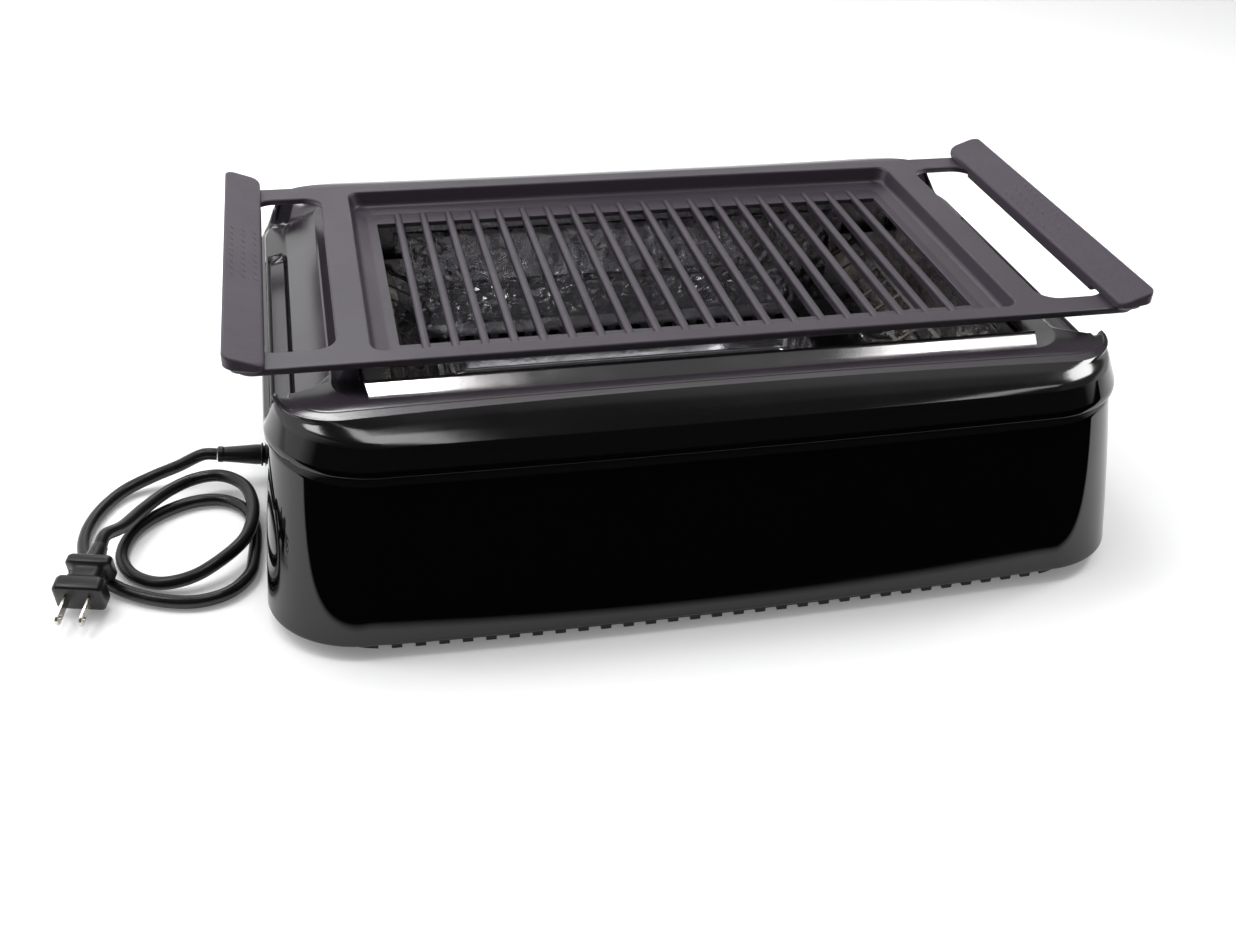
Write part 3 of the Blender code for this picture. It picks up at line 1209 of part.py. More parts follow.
def plug(aim):
    """The moulded plug body, lying on the loops, and its two flat blades."""
    turn = Matrix.Rotation(math.atan2(aim.y, aim.x), 4, "Z") @ Matrix.Rotation(PLUG_DIP, 4, "Y")
    place = Matrix.Translation(PLUG_FACE_AT) @ turn
    face = (PLUG_FACE_WIDTH / 2, PLUG_FACE_THICK / 2)
    waist = (PLUG_WAIST_WIDTH / 2, PLUG_WAIST_THICK / 2)
    collar = (PLUG_COLLAR_WIDTH / 2, PLUG_COLLAR_THICK / 2)
    neck = (CORD_DIAMETER * 0.75, CORD_DIAMETER * 0.75)
    tip = (CORD_DIAMETER * 0.56, CORD_DIAMETER * 0.56)
    waist_back = -PLUG_FACE_LENGTH - PLUG_WAIST_LENGTH
    rounding = PLUG_FACE_LENGTH / 8
    stations = [
        (0, face[0] - rounding, face[1] - rounding),
        (-rounding, *face),
        (-PLUG_FACE_LENGTH * 0.8, *face),
        (-PLUG_FACE_LENGTH, *waist),
        (waist_back, *waist),
        (waist_back - rounding, *collar),
        (-PLUG_BODY_LENGTH + rounding, *collar),
        (-PLUG_BODY_LENGTH, *neck),
        (-PLUG_BODY_LENGTH - PLUG_NECK_LENGTH, *tip),
    ]
    rings = []
    for x, half_y, half_z in stations:
        radius = min(half_y, half_z) * 0.45
        if x <= -PLUG_BODY_LENGTH:
            radius = half_z
        ring = []
        for index in range(ROUND_SIDES):
            angle = (index + 0.5) * math.tau / ROUND_SIDES
            side_y = math.copysign(half_y - radius, math.cos(angle))
            side_z = math.copysign(half_z - radius, math.sin(angle))
            y = side_y + radius * math.cos(angle)
            ring.append(Vector((x, y, side_z + radius * math.sin(angle))))
        rings.append(ring)
    body = from_bmesh("plug_body", lofted(rings, True, True), soft_black())
    body.matrix_world = place
    for word, side in (("left", -1), ("right", 1)):
        bm = bmesh.new()
        start = FIT
        y = side * BLADE_SPACING / 2
        low = (start, y - BLADE_THICK / 2, -BLADE_WIDTH / 2)
        box_mesh(bm, low, (start + BLADE_LENGTH, y + BLADE_THICK / 2, BLADE_WIDTH / 2))
        blade = from_bmesh(f"plug_blade_{word}", bm, nickel())
        hole = bmesh.new()
        x = start + BLADE_LENGTH * 0.72
        low_y = y - BLADE_THICK / 2 - CUT_OVERRUN
        cylinder_mesh(hole, (x, low_y, 0), (x, low_y + 2 * CUT_OVERRUN + BLADE_THICK, 0), BLADE_HOLE_RADIUS)
        other = from_bmesh(f"blade_hole_{word}", hole, None)
        boolean(blade, other)
        for piece in (blade, other):
            piece.matrix_world = place


def build():
    lower_housing()
    upper_housing()
    base_plate()
    feet_and_screws()
    grill_grate()
    handles()
    liner()
    long_reflector("front_reflector", -1)
    long_reflector("back_reflector", 1)
    trough_reflector("left_trough_reflector", -1)
    trough_reflector("right_trough_reflector", 1)
    heater("left", -1)
    heater("right", 1)
    drip_tray()
    switch()
    wiring()
    mains_lead()


build()
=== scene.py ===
import math

import bmesh
import bpy
from mathutils import Matrix, Vector, noise


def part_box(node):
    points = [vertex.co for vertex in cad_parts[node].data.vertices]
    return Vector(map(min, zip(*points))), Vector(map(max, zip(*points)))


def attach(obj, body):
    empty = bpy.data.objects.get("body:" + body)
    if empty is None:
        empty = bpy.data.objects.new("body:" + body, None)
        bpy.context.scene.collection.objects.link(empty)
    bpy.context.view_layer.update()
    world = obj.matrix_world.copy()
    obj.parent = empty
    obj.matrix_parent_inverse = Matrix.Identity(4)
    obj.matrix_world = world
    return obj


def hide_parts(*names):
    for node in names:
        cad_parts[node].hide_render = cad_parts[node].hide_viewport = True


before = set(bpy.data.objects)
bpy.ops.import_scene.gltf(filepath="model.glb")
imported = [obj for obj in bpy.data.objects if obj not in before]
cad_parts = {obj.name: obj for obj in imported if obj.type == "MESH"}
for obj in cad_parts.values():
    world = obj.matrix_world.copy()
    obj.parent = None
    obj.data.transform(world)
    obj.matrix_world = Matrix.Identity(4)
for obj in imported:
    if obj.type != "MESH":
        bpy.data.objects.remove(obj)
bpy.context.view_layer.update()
mm = 0.001
fit = 0.3 * mm  # the usual gap between parts
tiny = 1e-6  # keeps a length from being zero
over = 3 * mm  # how far a cutter runs past what it cuts
ontoY = Matrix.Rotation(math.pi / 2, 4, "X")
leftRight = (("left", -1), ("right", 1))
frontBack = (("front", -1), ("back", 1))
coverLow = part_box("upper_housing")[0]
bodyLow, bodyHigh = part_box("lower_housing")
baseLow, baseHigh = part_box("base_plate")
grateLow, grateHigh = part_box("grill_grate")
linerLow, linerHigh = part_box("inner_liner")
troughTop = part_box("right_trough_reflector")[1].z
print("frame loaded:", len(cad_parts), "nodes")


def inMm(*values):
    return tuple(value * mm for value in values)


# Camera, at the photograph's viewing angle

cameraLook = {
    "place": (-0.2094, -0.7464, 0.5026),
    "turn": (56.155, -2.311, -12.501),
    "lens": 40.66,
    "sensor": 36,
    "near": 0.01,
}


def makeCamera():
    data = bpy.data.cameras.new("camera")
    data.lens = cameraLook["lens"]
    data.sensor_width = cameraLook["sensor"]
    data.clip_start = cameraLook["near"]
    camera = bpy.data.objects.new("camera", data)
    camera.location = cameraLook["place"]
    camera.rotation_euler = [math.radians(angle) for angle in cameraLook["turn"]]
    bpy.context.scene.collection.objects.link(camera)
    bpy.context.scene.camera = camera


makeCamera()
print("camera placed")


# Mesh helpers

def share(value):
    return min(max(value, 0), 1)


def easeShare(value):
    value = share(value)
    return value * value * (3 - 2 * value)


def meshObject(name, bm):
    bmesh.ops.recalc_face_normals(bm, faces=bm.faces)
    mesh = bpy.data.meshes.new(name)
    bm.to_mesh(mesh)
    bm.free()
    made = bpy.data.objects.new(name, mesh)
    bpy.context.scene.collection.objects.link(made)
    return made


def takeMesh(helper):
    # the helper's mesh, open for editing again; the helper itself goes
    bm = bmesh.new()
    bm.from_mesh(helper.data)
    bpy.data.objects.remove(helper)
    return bm


def addPiece(name, bm, material, body, stands=(), sharp=35):
    # turns a bmesh into a piece that rides on a body and stands for CAD nodes
    piece = meshObject(name, bm)
    piece.data.materials.append(material)
    piece.data.shade_smooth()
    piece.data.set_sharp_from_angle(angle=math.radians(sharp))
    return mount(piece, body, stands)


def mount(piece, body, stands=()):
    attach(piece, body)
    if stands:
        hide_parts(*stands)
    return piece


def roundedEdges(piece, width, segments=3, angle=40):
    bevel = piece.modifiers.new("rounded edges", "BEVEL")
    bevel.width = width
    bevel.segments = segments
    bevel.limit_method = "ANGLE"
    bevel.angle_limit = math.radians(angle)
    return piece


def evenNormals(piece):
    modifier = piece.modifiers.new("even normals", "WEIGHTED_NORMAL")
    modifier.keep_sharp = True
    return piece


def cut(piece, bm, operation="DIFFERENCE"):
    # cuts or joins with another mesh and keeps the result
    other = meshObject("cutter", bm)
    modifier = piece.modifiers.new("cut", "BOOLEAN")
    modifier.operation = operation
    modifier.solver = "EXACT"
    modifier.object = other
    settle(piece)
    if not piece.data.polygons:
        raise RuntimeError(f"a cut left nothing of {piece.name}")
    bpy.data.objects.remove(other)


def settle(piece):
    # writes the modifiers into the mesh
    graph = bpy.context.evaluated_depsgraph_get()
    graph.update()
    made = bpy.data.meshes.new_from_object(piece.evaluated_get(graph))
    piece.modifiers.clear()
    piece.data = made


def ringOf(size, z, steps=(24, 24, 24)):
    # a rounded rectangle with bowed long sides; size is half x, half y, corner x, corner y, bow
    halfX, halfY, cornerX, cornerY, bow = size
    cornerSteps, longSteps, shortSteps = steps
    flatX = halfX - cornerX
    flatY = halfY - cornerY
    points = []
    for signX, signY, start in ((-1, -1, 2), (1, -1, 3), (1, 1, 0), (-1, 1, 1)):
        for step in range(cornerSteps + 1):
            angle = (start + step / cornerSteps) * math.pi / 2
            x = signX * flatX + cornerX * math.cos(angle)
            points.append(Vector((x, signY * flatY + cornerY * math.sin(angle), z)))
        onLong = signX * signY > 0
        count = longSteps if onLong else shortSteps
        for step in range(1, count):
            along = -1 + 2 * step / count
            if onLong:
                y = signY * (halfY + bow * (1 - along * along))
                points.append(Vector((-signY * along * flatX, y, z)))
            else:
                along = math.sin(math.pi / 2 * along)
                points.append(Vector((signX * halfX, signX * along * flatY, z)))
    return points


def squareRing(halfX, halfY, corner, z, steps):
    return ringOf((halfX, halfY, corner, corner, 0), z, steps)


def roundCorner(a, b, c, radius, steps, most):
    # the curve that takes the corner at b; most is its longest share of either side
    p = b + (a - b) * min(radius / max((a - b).length, tiny), most)
    q = b + (c - b) * min(radius / max((c - b).length, tiny), most)
    shares = [step / steps for step in range(steps + 1)]
    return [p * (1 - t) ** 2 + b * (2 * t * (1 - t)) + q * t ** 2 for t in shares]


def roundedSection(rings, radii, steps=4):
    # rounds the section of a loft where a ring has a radius
    out = [rings[0]]
    for before, here, after, radius in zip(rings, rings[1:], rings[2:], radii[1:]):
        if radius:
            corners = [roundCorner(a, b, c, radius, steps, 0.47) for a, b, c in zip(before, here, after)]
            out += [list(row) for row in zip(*corners)]
        else:
            out.append(here)
    return out + [rings[-1]]


def roundedProfile(points, radius, steps=3):
    # rounds the corners of an open profile of (radius, height) points
    out = [points[0]]
    for corner in zip(points, points[1:], points[2:]):
        out += [tuple(point) for point in roundCorner(*map(Vector, corner), radius, steps, 0.45)]
    return out + [points[-1]]


def skin(rings, firstCap=False, lastCap=False, closed=False, bm=None):
    # a skin through rings that have as many points each
    bm = bm or bmesh.new()
    rows = [[bm.verts.new(point) for point in ring] for ring in rings]
    pairs = list(zip(rows, rows[1:]))
    if closed:
        pairs.append((rows[-1], rows[0]))
    for low, high in pairs:
        for i in range(len(low)):
            j = (i + 1) % len(low)
            bm.faces.new((low[i], low[j], high[j], high[i]))
    if firstCap:
        bm.faces.new(rows[0])
    if lastCap:
        bm.faces.new(rows[-1])
    return bm


def addBox(bm, low, high, place=None):
    low, high = Vector(low), Vector(high)
    made = bmesh.ops.create_cube(bm, size=1)["verts"]
    matrix = Matrix.Translation((low + high) / 2) @ Matrix.Diagonal((*(high - low), 1))
    bmesh.ops.transform(bm, matrix=(place or Matrix()) @ matrix, verts=made)
    return made


def addBoxRow(bm, row, spans, low, high):
    # equal boxes in a row along X, each of them on every span of Y; row is count, pitch, width
    count, pitch, width = row
    for index in range(count):
        x = (index - (count - 1) / 2) * pitch
        for near, far in spans:
            addBox(bm, (x - width / 2, near, low), (x + width / 2, far, high))


def onSide(side, near, far):
    return sorted((side * near, side * far))


def bothSides(near, far):
    return [onSide(side, near, far) for side in (-1, 1)]


def turnedRings(profile, place, sides):
    # circles from a profile of (radius, height) round the place's Z axis
    turns = [side * math.tau / sides for side in range(sides)]
    return [[place @ Vector((radius * math.cos(turn), radius * math.sin(turn), height)) for turn in turns]
            for radius, height in profile]


def addTurned(bm, profile, place, sides=32):
    return skin(turnedRings(profile, place, sides), True, True, bm=bm)


def bentSheet(path, thickness, halfLength, place, cells=1, warp=None):
    # a thin bent sheet: path is its section, place puts (a, b, along) in space
    near, far = [], []
    for i, point in enumerate(path):
        before, after = path[max(i - 1, 0)], path[min(i + 1, len(path) - 1)]
        along = Vector((after[0] - before[0], after[1] - before[1])).normalized()
        normal = Vector((-along.y, along.x)) * thickness / 2
        near.append(Vector(point) + normal)
        far.append(Vector(point) - normal)
    loop = near + far[::-1]
    rows = []
    for cell in range(cells + 1):
        along = -halfLength + 2 * halfLength * cell / cells
        row = []
        for index, point in enumerate(loop):
            spot = index if index < len(path) else len(loop) - 1 - index
            offset = warp(spot / (len(path) - 1), along) if warp else 0
            twin = (near[spot] - far[spot]).normalized() * offset
            row.append(place(point.x + twin.x, point.y + twin.y, along))
        rows.append(row)
    return skin(rows, True, True)


def smoothRoute(points, count):
    # even steps along a centripetal curve through the route's own points
    route = [Vector(point) for point in points]
    ends = [2 * route[0] - route[1]] + route + [2 * route[-1] - route[-2]]
    fine = []
    for a, b, c, d in zip(ends, ends[1:], ends[2:], ends[3:]):
        knots = [0]
        for near, far in ((a, b), (b, c), (c, d)):
            knots.append(knots[-1] + max((far - near).length, fit) ** 0.5)
        for step in range(24):
            t = knots[1] + (knots[2] - knots[1]) * step / 24
            first = a.lerp(b, (t - knots[0]) / (knots[1] - knots[0]))
            second = b.lerp(c, (t - knots[1]) / (knots[2] - knots[1]))
            third = c.lerp(d, (t - knots[2]) / (knots[3] - knots[2]))
            left = first.lerp(second, (t - knots[0]) / (knots[2] - knots[0]))
            right = second.lerp(third, (t - knots[1]) / (knots[3] - knots[1]))
            fine.append(left.lerp(right, (t - knots[1]) / (knots[2] - knots[1])))
    fine.append(route[-1])
    lengths = [0]
    for near, far in zip(fine, fine[1:]):
        lengths.append(lengths[-1] + (far - near).length)
    even, index = [], 0
    for step in range(count):
        target = lengths[-1] * step / (count - 1)
        while index < len(fine) - 2 and lengths[index + 1] < target:
            index += 1
        span = lengths[index + 1] - lengths[index]
        even.append(fine[index].lerp(fine[index + 1], (target - lengths[index]) / span))
    return even, lengths[-1]


def wire(name, points, radius, material, resolution=6):
    data = bpy.data.curves.new(name, "CURVE")
    data.dimensions = "3D"
    data.bevel_depth = radius
    data.bevel_resolution = resolution
    data.use_fill_caps = True
    spline = data.splines.new("POLY")
    spline.points.add(len(points) - 1)
    for control, point in zip(spline.points, points):
        control.co = (*point, 1)
    spline.use_smooth = True
    piece = bpy.data.objects.new(name, data)
    bpy.context.scene.collection.objects.link(piece)
    data.materials.append(material)
    return piece


# Node helpers and the shared effects

def addNode(tree, kind, inputs=None, **settings):
    node = tree.nodes.new(kind)
    for key, value in settings.items():
        setattr(node, key, value)
    for key, value in (inputs or {}).items():
        if isinstance(value, bpy.types.NodeSocket):
            tree.links.new(value, node.inputs[key])
        else:
            node.inputs[key].default_value = value
    return node


def newGroup(name, inputs, outputs):
    tree = bpy.data.node_groups.new(name, "ShaderNodeTree")
    for label, default in inputs.items():
        socket = tree.interface.new_socket(label, in_out="INPUT", socket_type="NodeSocketFloat")
        socket.default_value = default
    for label in outputs:
        tree.interface.new_socket(label, in_out="OUTPUT", socket_type="NodeSocketFloat")
    return tree, tree.nodes.new("NodeGroupInput"), tree.nodes.new("NodeGroupOutput")


def maths(tree, operation, first, second=0.0, clamp=False):
    inputs = {0: first, 1: second}
    return addNode(tree, "ShaderNodeMath", inputs, operation=operation, use_clamp=clamp).outputs[0]


def spread(tree, value, low, high, outLow=0.0, outHigh=1.0):
    inputs = {"Value": value, "From Min": low, "From Max": high, "To Min": outLow, "To Max": outHigh}
    return addNode(tree, "ShaderNodeMapRange", inputs).outputs[0]


def noiseOf(tree, place, scale, detail=2.0, roughness=0.5):
    inputs = {"Vector": place, "Scale": scale, "Detail": detail, "Roughness": roughness}
    return addNode(tree, "ShaderNodeTexNoise", inputs).outputs["Fac"]


def objectPlace(tree):
    return addNode(tree, "ShaderNodeTexCoord").outputs["Object"]


def makeGrainGroup():
    # fine moulded or cast grain: Height for a bump, Mask for colour and roughness
    tree, given, made = newGroup("mouldedGrain", {"Scale": 2200, "Softness": 0.5}, ("Height", "Mask"))
    place = objectPlace(tree)
    fine = noiseOf(tree, place, given.outputs["Scale"], 3, given.outputs["Softness"])
    coarse = noiseOf(tree, place, maths(tree, "MULTIPLY", given.outputs["Scale"], 0.31), 2)
    height = maths(tree, "ADD", maths(tree, "MULTIPLY", fine, 0.7), maths(tree, "MULTIPLY", coarse, 0.3))
    tree.links.new(height, made.inputs["Height"])
    tree.links.new(spread(tree, height, 0.38, 0.62), made.inputs["Mask"])
    return tree


def makeHandlingGroup():
    # finger smudges, faint wipe marks and settled dust
    names = {"Smudge Scale": 14, "Dust Scale": 900, "Dust Amount": 0.5}
    tree, given, made = newGroup("handling", names, ("Smudge", "Dust"))
    place = objectPlace(tree)
    cloud = noiseOf(tree, place, given.outputs["Smudge Scale"], 5, 0.62)
    tree.links.new(spread(tree, cloud, 0.42, 0.68), made.inputs["Smudge"])
    inputs = {"Vector": place, "Scale": given.outputs["Dust Scale"]}
    specks = addNode(tree, "ShaderNodeTexVoronoi", inputs).outputs["Distance"]
    patch = spread(tree, noiseOf(tree, place, 42, 3), 0.42, 0.66)
    limit = maths(tree, "MULTIPLY", maths(tree, "MULTIPLY", given.outputs["Dust Amount"], 0.24), patch)
    dust = spread(tree, specks, 0.0, limit, 1.0, 0.0)
    normal = addNode(tree, "ShaderNodeNewGeometry").outputs["Normal"]
    facing = addNode(tree, "ShaderNodeSeparateXYZ", {0: normal})
    upward = spread(tree, facing.outputs["Z"], 0.1, 0.9, 0.15, 1.0)
    tree.links.new(maths(tree, "MULTIPLY", dust, upward), made.inputs["Dust"])
    return tree


def makeWearGroup():
    # rubbed edges: a mask that is 1 on a worn convex edge
    tree, given, made = newGroup("edgeWear", {"Start": 0.52, "End": 0.6, "Breakup": 180}, ("Mask",))
    geometry = addNode(tree, "ShaderNodeNewGeometry")
    place = objectPlace(tree)
    edge = spread(tree, geometry.outputs["Pointiness"], given.outputs["Start"], given.outputs["End"])
    broken = spread(tree, noiseOf(tree, place, given.outputs["Breakup"], 4, 0.6), 0.4, 0.62)
    tree.links.new(maths(tree, "MULTIPLY", edge, broken, True), made.inputs["Mask"])
    return tree


def makeFoilGroup():
    # crumpled bright sheet: sharp little facets and soft dents
    tree, given, made = newGroup("crumpledSheet", {"Scale": 90, "Facets": 0.6}, ("Height",))
    place = objectPlace(tree)
    warp = addNode(tree, "ShaderNodeTexNoise", {"Vector": place, "Scale": 30, "Detail": 2}).outputs["Color"]
    inputs = {0: warp, 1: (0.012, 0.012, 0.012), 2: place}
    bent = addNode(tree, "ShaderNodeVectorMath", inputs, operation="MULTIPLY_ADD").outputs[0]
    inputs = {"Vector": bent, "Scale": given.outputs["Scale"]}
    cells = addNode(tree, "ShaderNodeTexVoronoi", inputs, feature="SMOOTH_F1").outputs["Distance"]
    creases = noiseOf(tree, bent, maths(tree, "MULTIPLY", given.outputs["Scale"], 0.6), 4, 0.55)
    facets = maths(tree, "MULTIPLY", cells, given.outputs["Facets"])
    tree.links.new(maths(tree, "ADD", facets, creases), made.inputs["Height"])
    return tree


def makeBrushGroup():
    # fine lines from turning or rolling, across one axis
    tree, given, made = newGroup("rolledLines", {"Scale": 1, "Across": 900}, ("Height", "Mask"))
    place = objectPlace(tree)
    parts = addNode(tree, "ShaderNodeSeparateXYZ", {0: place})
    across = maths(tree, "MULTIPLY", parts.outputs["Y"], given.outputs["Across"])
    inputs = {"X": maths(tree, "MULTIPLY", parts.outputs["X"], 8), "Y": across, "Z": parts.outputs["Z"]}
    stretched = addNode(tree, "ShaderNodeCombineXYZ", inputs).outputs[0]
    lines = noiseOf(tree, stretched, given.outputs["Scale"], 3)
    tree.links.new(lines, made.inputs["Height"])
    tree.links.new(spread(tree, lines, 0.35, 0.65), made.inputs["Mask"])
    return tree


grainGroup = makeGrainGroup()
handlingGroup = makeHandlingGroup()
wearGroup = makeWearGroup()
foilGroup = makeFoilGroup()
brushGroup = makeBrushGroup()
print("shared effects made")


# Materials

def useGroup(tree, group, **values):
    node = addNode(tree, "ShaderNodeGroup", node_tree=group)
    for label, value in values.items():
        node.inputs[label.replace("_", " ")].default_value = value
    return node.outputs


def mixColour(tree, amount, first, second):
    node = addNode(tree, "ShaderNodeMix", data_type="RGBA")
    for socket, value in ((node.inputs[0], amount), (node.inputs[6], first), (node.inputs[7], second)):
        if isinstance(value, bpy.types.NodeSocket):
            tree.links.new(value, socket)
        else:
            socket.default_value = value if isinstance(value, float) else (*value, 1)
    return node.outputs[2]


def bumpOf(tree, height, distance, strength=1.0, under=None):
    inputs = {"Height": height, "Distance": distance, "Strength": strength}
    if under:
        inputs["Normal"] = under
    return addNode(tree, "ShaderNodeBump", inputs).outputs[0]


def newMaterial(name, **constants):
    # constants are plain numbers or colours on the shader's own sockets
    material = bpy.data.materials.new(name)
    material.use_nodes = True
    shader = material.node_tree.nodes["Principled BSDF"]
    for label, value in constants.items():
        shader.inputs[label.replace("_", " ")].default_value = value
    return material, material.node_tree, shader


def drive(tree, shader, **sockets):
    for label, socket in sockets.items():
        tree.links.new(socket, shader.inputs[label.replace("_", " ")])


def moulded(name, colour, dusty, roughness, grain, wear=None, level=0.5, dustAmount=0.4):
    # a plastic or coated surface with grain, handling marks and rubbed edges
    material, tree, shader = newMaterial(name, Specular_IOR_Level=level)
    grains = useGroup(tree, grainGroup, Scale=grain["scale"])
    marks = useGroup(tree, handlingGroup, Dust_Amount=dustAmount)
    tone = mixColour(tree, grains["Mask"], colour, [value * grain["tone"] for value in colour])
    tone = mixColour(tree, marks["Dust"], tone, dusty)
    if wear:
        worn = useGroup(tree, wearGroup, Start=wear["start"], End=wear["end"])
        tone = mixColour(tree, worn["Mask"], tone, wear["colour"])
    rough = spread(tree, marks["Smudge"], 0, 1, roughness[0], roughness[1])
    rough = maths(tree, "ADD", rough, maths(tree, "MULTIPLY", marks["Dust"], 0.3), True)
    drive(tree, shader, Base_Color=tone, Roughness=rough,
          Normal=bumpOf(tree, grains["Height"], grain["depth"]))
    return material


def makeRubber(name, colour, roughness):
    return moulded(
        name, colour, (0.09, 0.09, 0.09), roughness,
        {"scale": 2600, "tone": 0.7, "depth": 0.03 * mm},
        {"start": 0.56, "end": 0.7, "colour": (0.03, 0.03, 0.03)}, dustAmount=0.35,
    )


def makeBrightSheet(name, colour, roughness, foil, stain):
    # bright aluminium sheet: dents, crumples and a faint heat tint
    material, tree, shader = newMaterial(name, Metallic=1.0)
    crumple = useGroup(tree, foilGroup, Scale=foil["scale"], Facets=foil["facets"])
    marks = useGroup(tree, handlingGroup, Smudge_Scale=22, Dust_Amount=0.5)
    grains = useGroup(tree, grainGroup, Scale=1200)
    tone = mixColour(tree, marks["Smudge"], colour, stain)
    tone = mixColour(tree, marks["Dust"], tone, (0.30, 0.28, 0.26))
    rough = spread(tree, marks["Smudge"], 0, 1, *roughness)
    normal = bumpOf(tree, crumple["Height"], foil["depth"])
    normal = bumpOf(tree, grains["Height"], 0.01 * mm, under=normal)
    drive(tree, shader, Base_Color=tone, Roughness=rough, Normal=normal)
    return material


def makeScrewSteel(name, colour, roughness):
    material, tree, shader = newMaterial(name, Metallic=1.0)
    lines = useGroup(tree, brushGroup, Across=1400)
    marks = useGroup(tree, handlingGroup, Smudge_Scale=160, Dust_Amount=0.6)
    worn = useGroup(tree, wearGroup, Start=0.53, End=0.62, Breakup=600)
    tone = mixColour(tree, lines["Mask"], colour, [value * 0.82 for value in colour])
    tone = mixColour(tree, marks["Smudge"], tone, [value * 0.7 for value in colour])
    tone = mixColour(tree, worn["Mask"], tone, [min(value * 1.3, 0.95) for value in colour])
    rough = spread(tree, marks["Smudge"], 0, 1, *roughness)
    drive(tree, shader, Base_Color=tone, Roughness=rough,
          Normal=bumpOf(tree, lines["Height"], 0.015 * mm))
    return material


def makeQuartz():
    material, tree, shader = newMaterial(
        "quartzGlass", Base_Color=(0.96, 0.95, 0.93, 1), Transmission_Weight=1.0, IOR=1.46)
    marks = useGroup(tree, handlingGroup, Smudge_Scale=60, Dust_Amount=0.4)
    drive(tree, shader, Roughness=spread(tree, marks["Smudge"], 0, 1, 0.03, 0.22))
    return material


def makeCeramic():
    material, tree, shader = newMaterial("ceramic")
    grains = useGroup(tree, grainGroup, Scale=1800)
    marks = useGroup(tree, handlingGroup, Smudge_Scale=70, Dust_Amount=0.7)
    tone = mixColour(tree, grains["Mask"], (0.66, 0.63, 0.57), (0.58, 0.55, 0.49))
    tone = mixColour(tree, marks["Smudge"], tone, (0.46, 0.40, 0.32))
    rough = spread(tree, grains["Mask"], 0, 1, 0.42, 0.6)
    drive(tree, shader, Base_Color=tone, Roughness=rough,
          Normal=bumpOf(tree, grains["Height"], 0.05 * mm))
    return material


def makeCoilWire():
    material, tree, shader = newMaterial("coilWire", Metallic=1.0)
    marks = useGroup(tree, handlingGroup, Smudge_Scale=240, Dust_Amount=0.2)
    tone = mixColour(tree, marks["Smudge"], (0.30, 0.26, 0.24), (0.14, 0.11, 0.10))
    drive(tree, shader, Base_Color=tone, Roughness=spread(tree, marks["Smudge"], 0, 1, 0.35, 0.6))
    return material


bodyGloss = moulded(
    "bodyGlossBlack", (0.0014, 0.0014, 0.0017), (0.04, 0.04, 0.04), (0.03, 0.07),
    {"scale": 900, "tone": 1.3, "depth": 0.004 * mm}, dustAmount=0.25)
# the rolled shoulder has a fine texture that softens what it reflects
shoulderSatin = moulded(
    "shoulderSatinBlack", (0.0024, 0.0020, 0.0024), (0.05, 0.045, 0.05), (0.11, 0.17),
    {"scale": 1500, "tone": 1.4, "depth": 0.014 * mm}, level=0.6, dustAmount=0.4)
# the flat top surfaces, whose lighter colour is painted light: it stands in for the light of the room they
# catch at a low angle
topPaintedLight = moulded(
    "topPaintedLightBlack", (0.030, 0.0245, 0.032), (0.10, 0.095, 0.10), (0.17, 0.24),
    {"scale": 1500, "tone": 0.75, "depth": 0.02 * mm}, level=1.0, dustAmount=0.5)
grateCoat = moulded(
    "grateCoating", (0.034, 0.0245, 0.038), (0.15, 0.14, 0.15), (0.40, 0.50),
    {"scale": 1700, "tone": 0.72, "depth": 0.05 * mm},
    {"start": 0.54, "end": 0.64, "colour": (0.12, 0.10, 0.12)}, level=0.7, dustAmount=0.35)
gripPlastic = moulded(
    "gripPlastic", (0.049, 0.036, 0.054), (0.15, 0.14, 0.15), (0.44, 0.55),
    {"scale": 1300, "tone": 0.7, "depth": 0.07 * mm},
    {"start": 0.54, "end": 0.66, "colour": (0.10, 0.085, 0.105)}, level=0.6, dustAmount=0.4)
basePlastic = moulded(
    "basePlastic", (0.014, 0.014, 0.015), (0.10, 0.10, 0.10), (0.35, 0.5),
    {"scale": 1500, "tone": 0.7, "depth": 0.05 * mm}, dustAmount=0.6)
switchPlastic = moulded(
    "switchPlastic", (0.010, 0.010, 0.010), (0.08, 0.08, 0.08), (0.28, 0.4),
    {"scale": 2200, "tone": 0.75, "depth": 0.03 * mm}, dustAmount=0.4)
footRubber = makeRubber("footRubber", (0.016, 0.016, 0.016), (0.55, 0.7))
cordRubber = makeRubber("cordRubber", (0.0065, 0.0065, 0.0068), (0.26, 0.38))
plugRubber = makeRubber("plugRubber", (0.007, 0.007, 0.007), (0.3, 0.44))
linerSheet = makeBrightSheet(
    "linerSheet", (0.56, 0.55, 0.57), (0.20, 0.34),
    {"scale": 60, "facets": 0.35, "depth": 0.9 * mm}, (0.42, 0.41, 0.42))
reflectorSheet = makeBrightSheet(
    "reflectorSheet", (0.70, 0.69, 0.71), (0.10, 0.20),
    {"scale": 150, "facets": 0.9, "depth": 1.6 * mm}, (0.50, 0.49, 0.50))
troughSheet = makeBrightSheet(
    "troughSheet", (0.80, 0.79, 0.80), (0.10, 0.20),
    {"scale": 120, "facets": 0.9, "depth": 1.8 * mm}, (0.60, 0.59, 0.58))
guardSheet = makeBrightSheet(
    "guardSheet", (0.13, 0.125, 0.12), (0.24, 0.38),
    {"scale": 200, "facets": 0.2, "depth": 0.1 * mm}, (0.09, 0.08, 0.075))
lipSheet = makeBrightSheet(
    "lipSheet", (0.72, 0.70, 0.71), (0.11, 0.20),
    {"scale": 26, "facets": 0.1, "depth": 0.1 * mm}, (0.60, 0.58, 0.58))
traySheet = makeBrightSheet(
    "traySheet", (0.82, 0.82, 0.84), (0.07, 0.16),
    {"scale": 40, "facets": 0.2, "depth": 0.25 * mm}, (0.66, 0.65, 0.66))
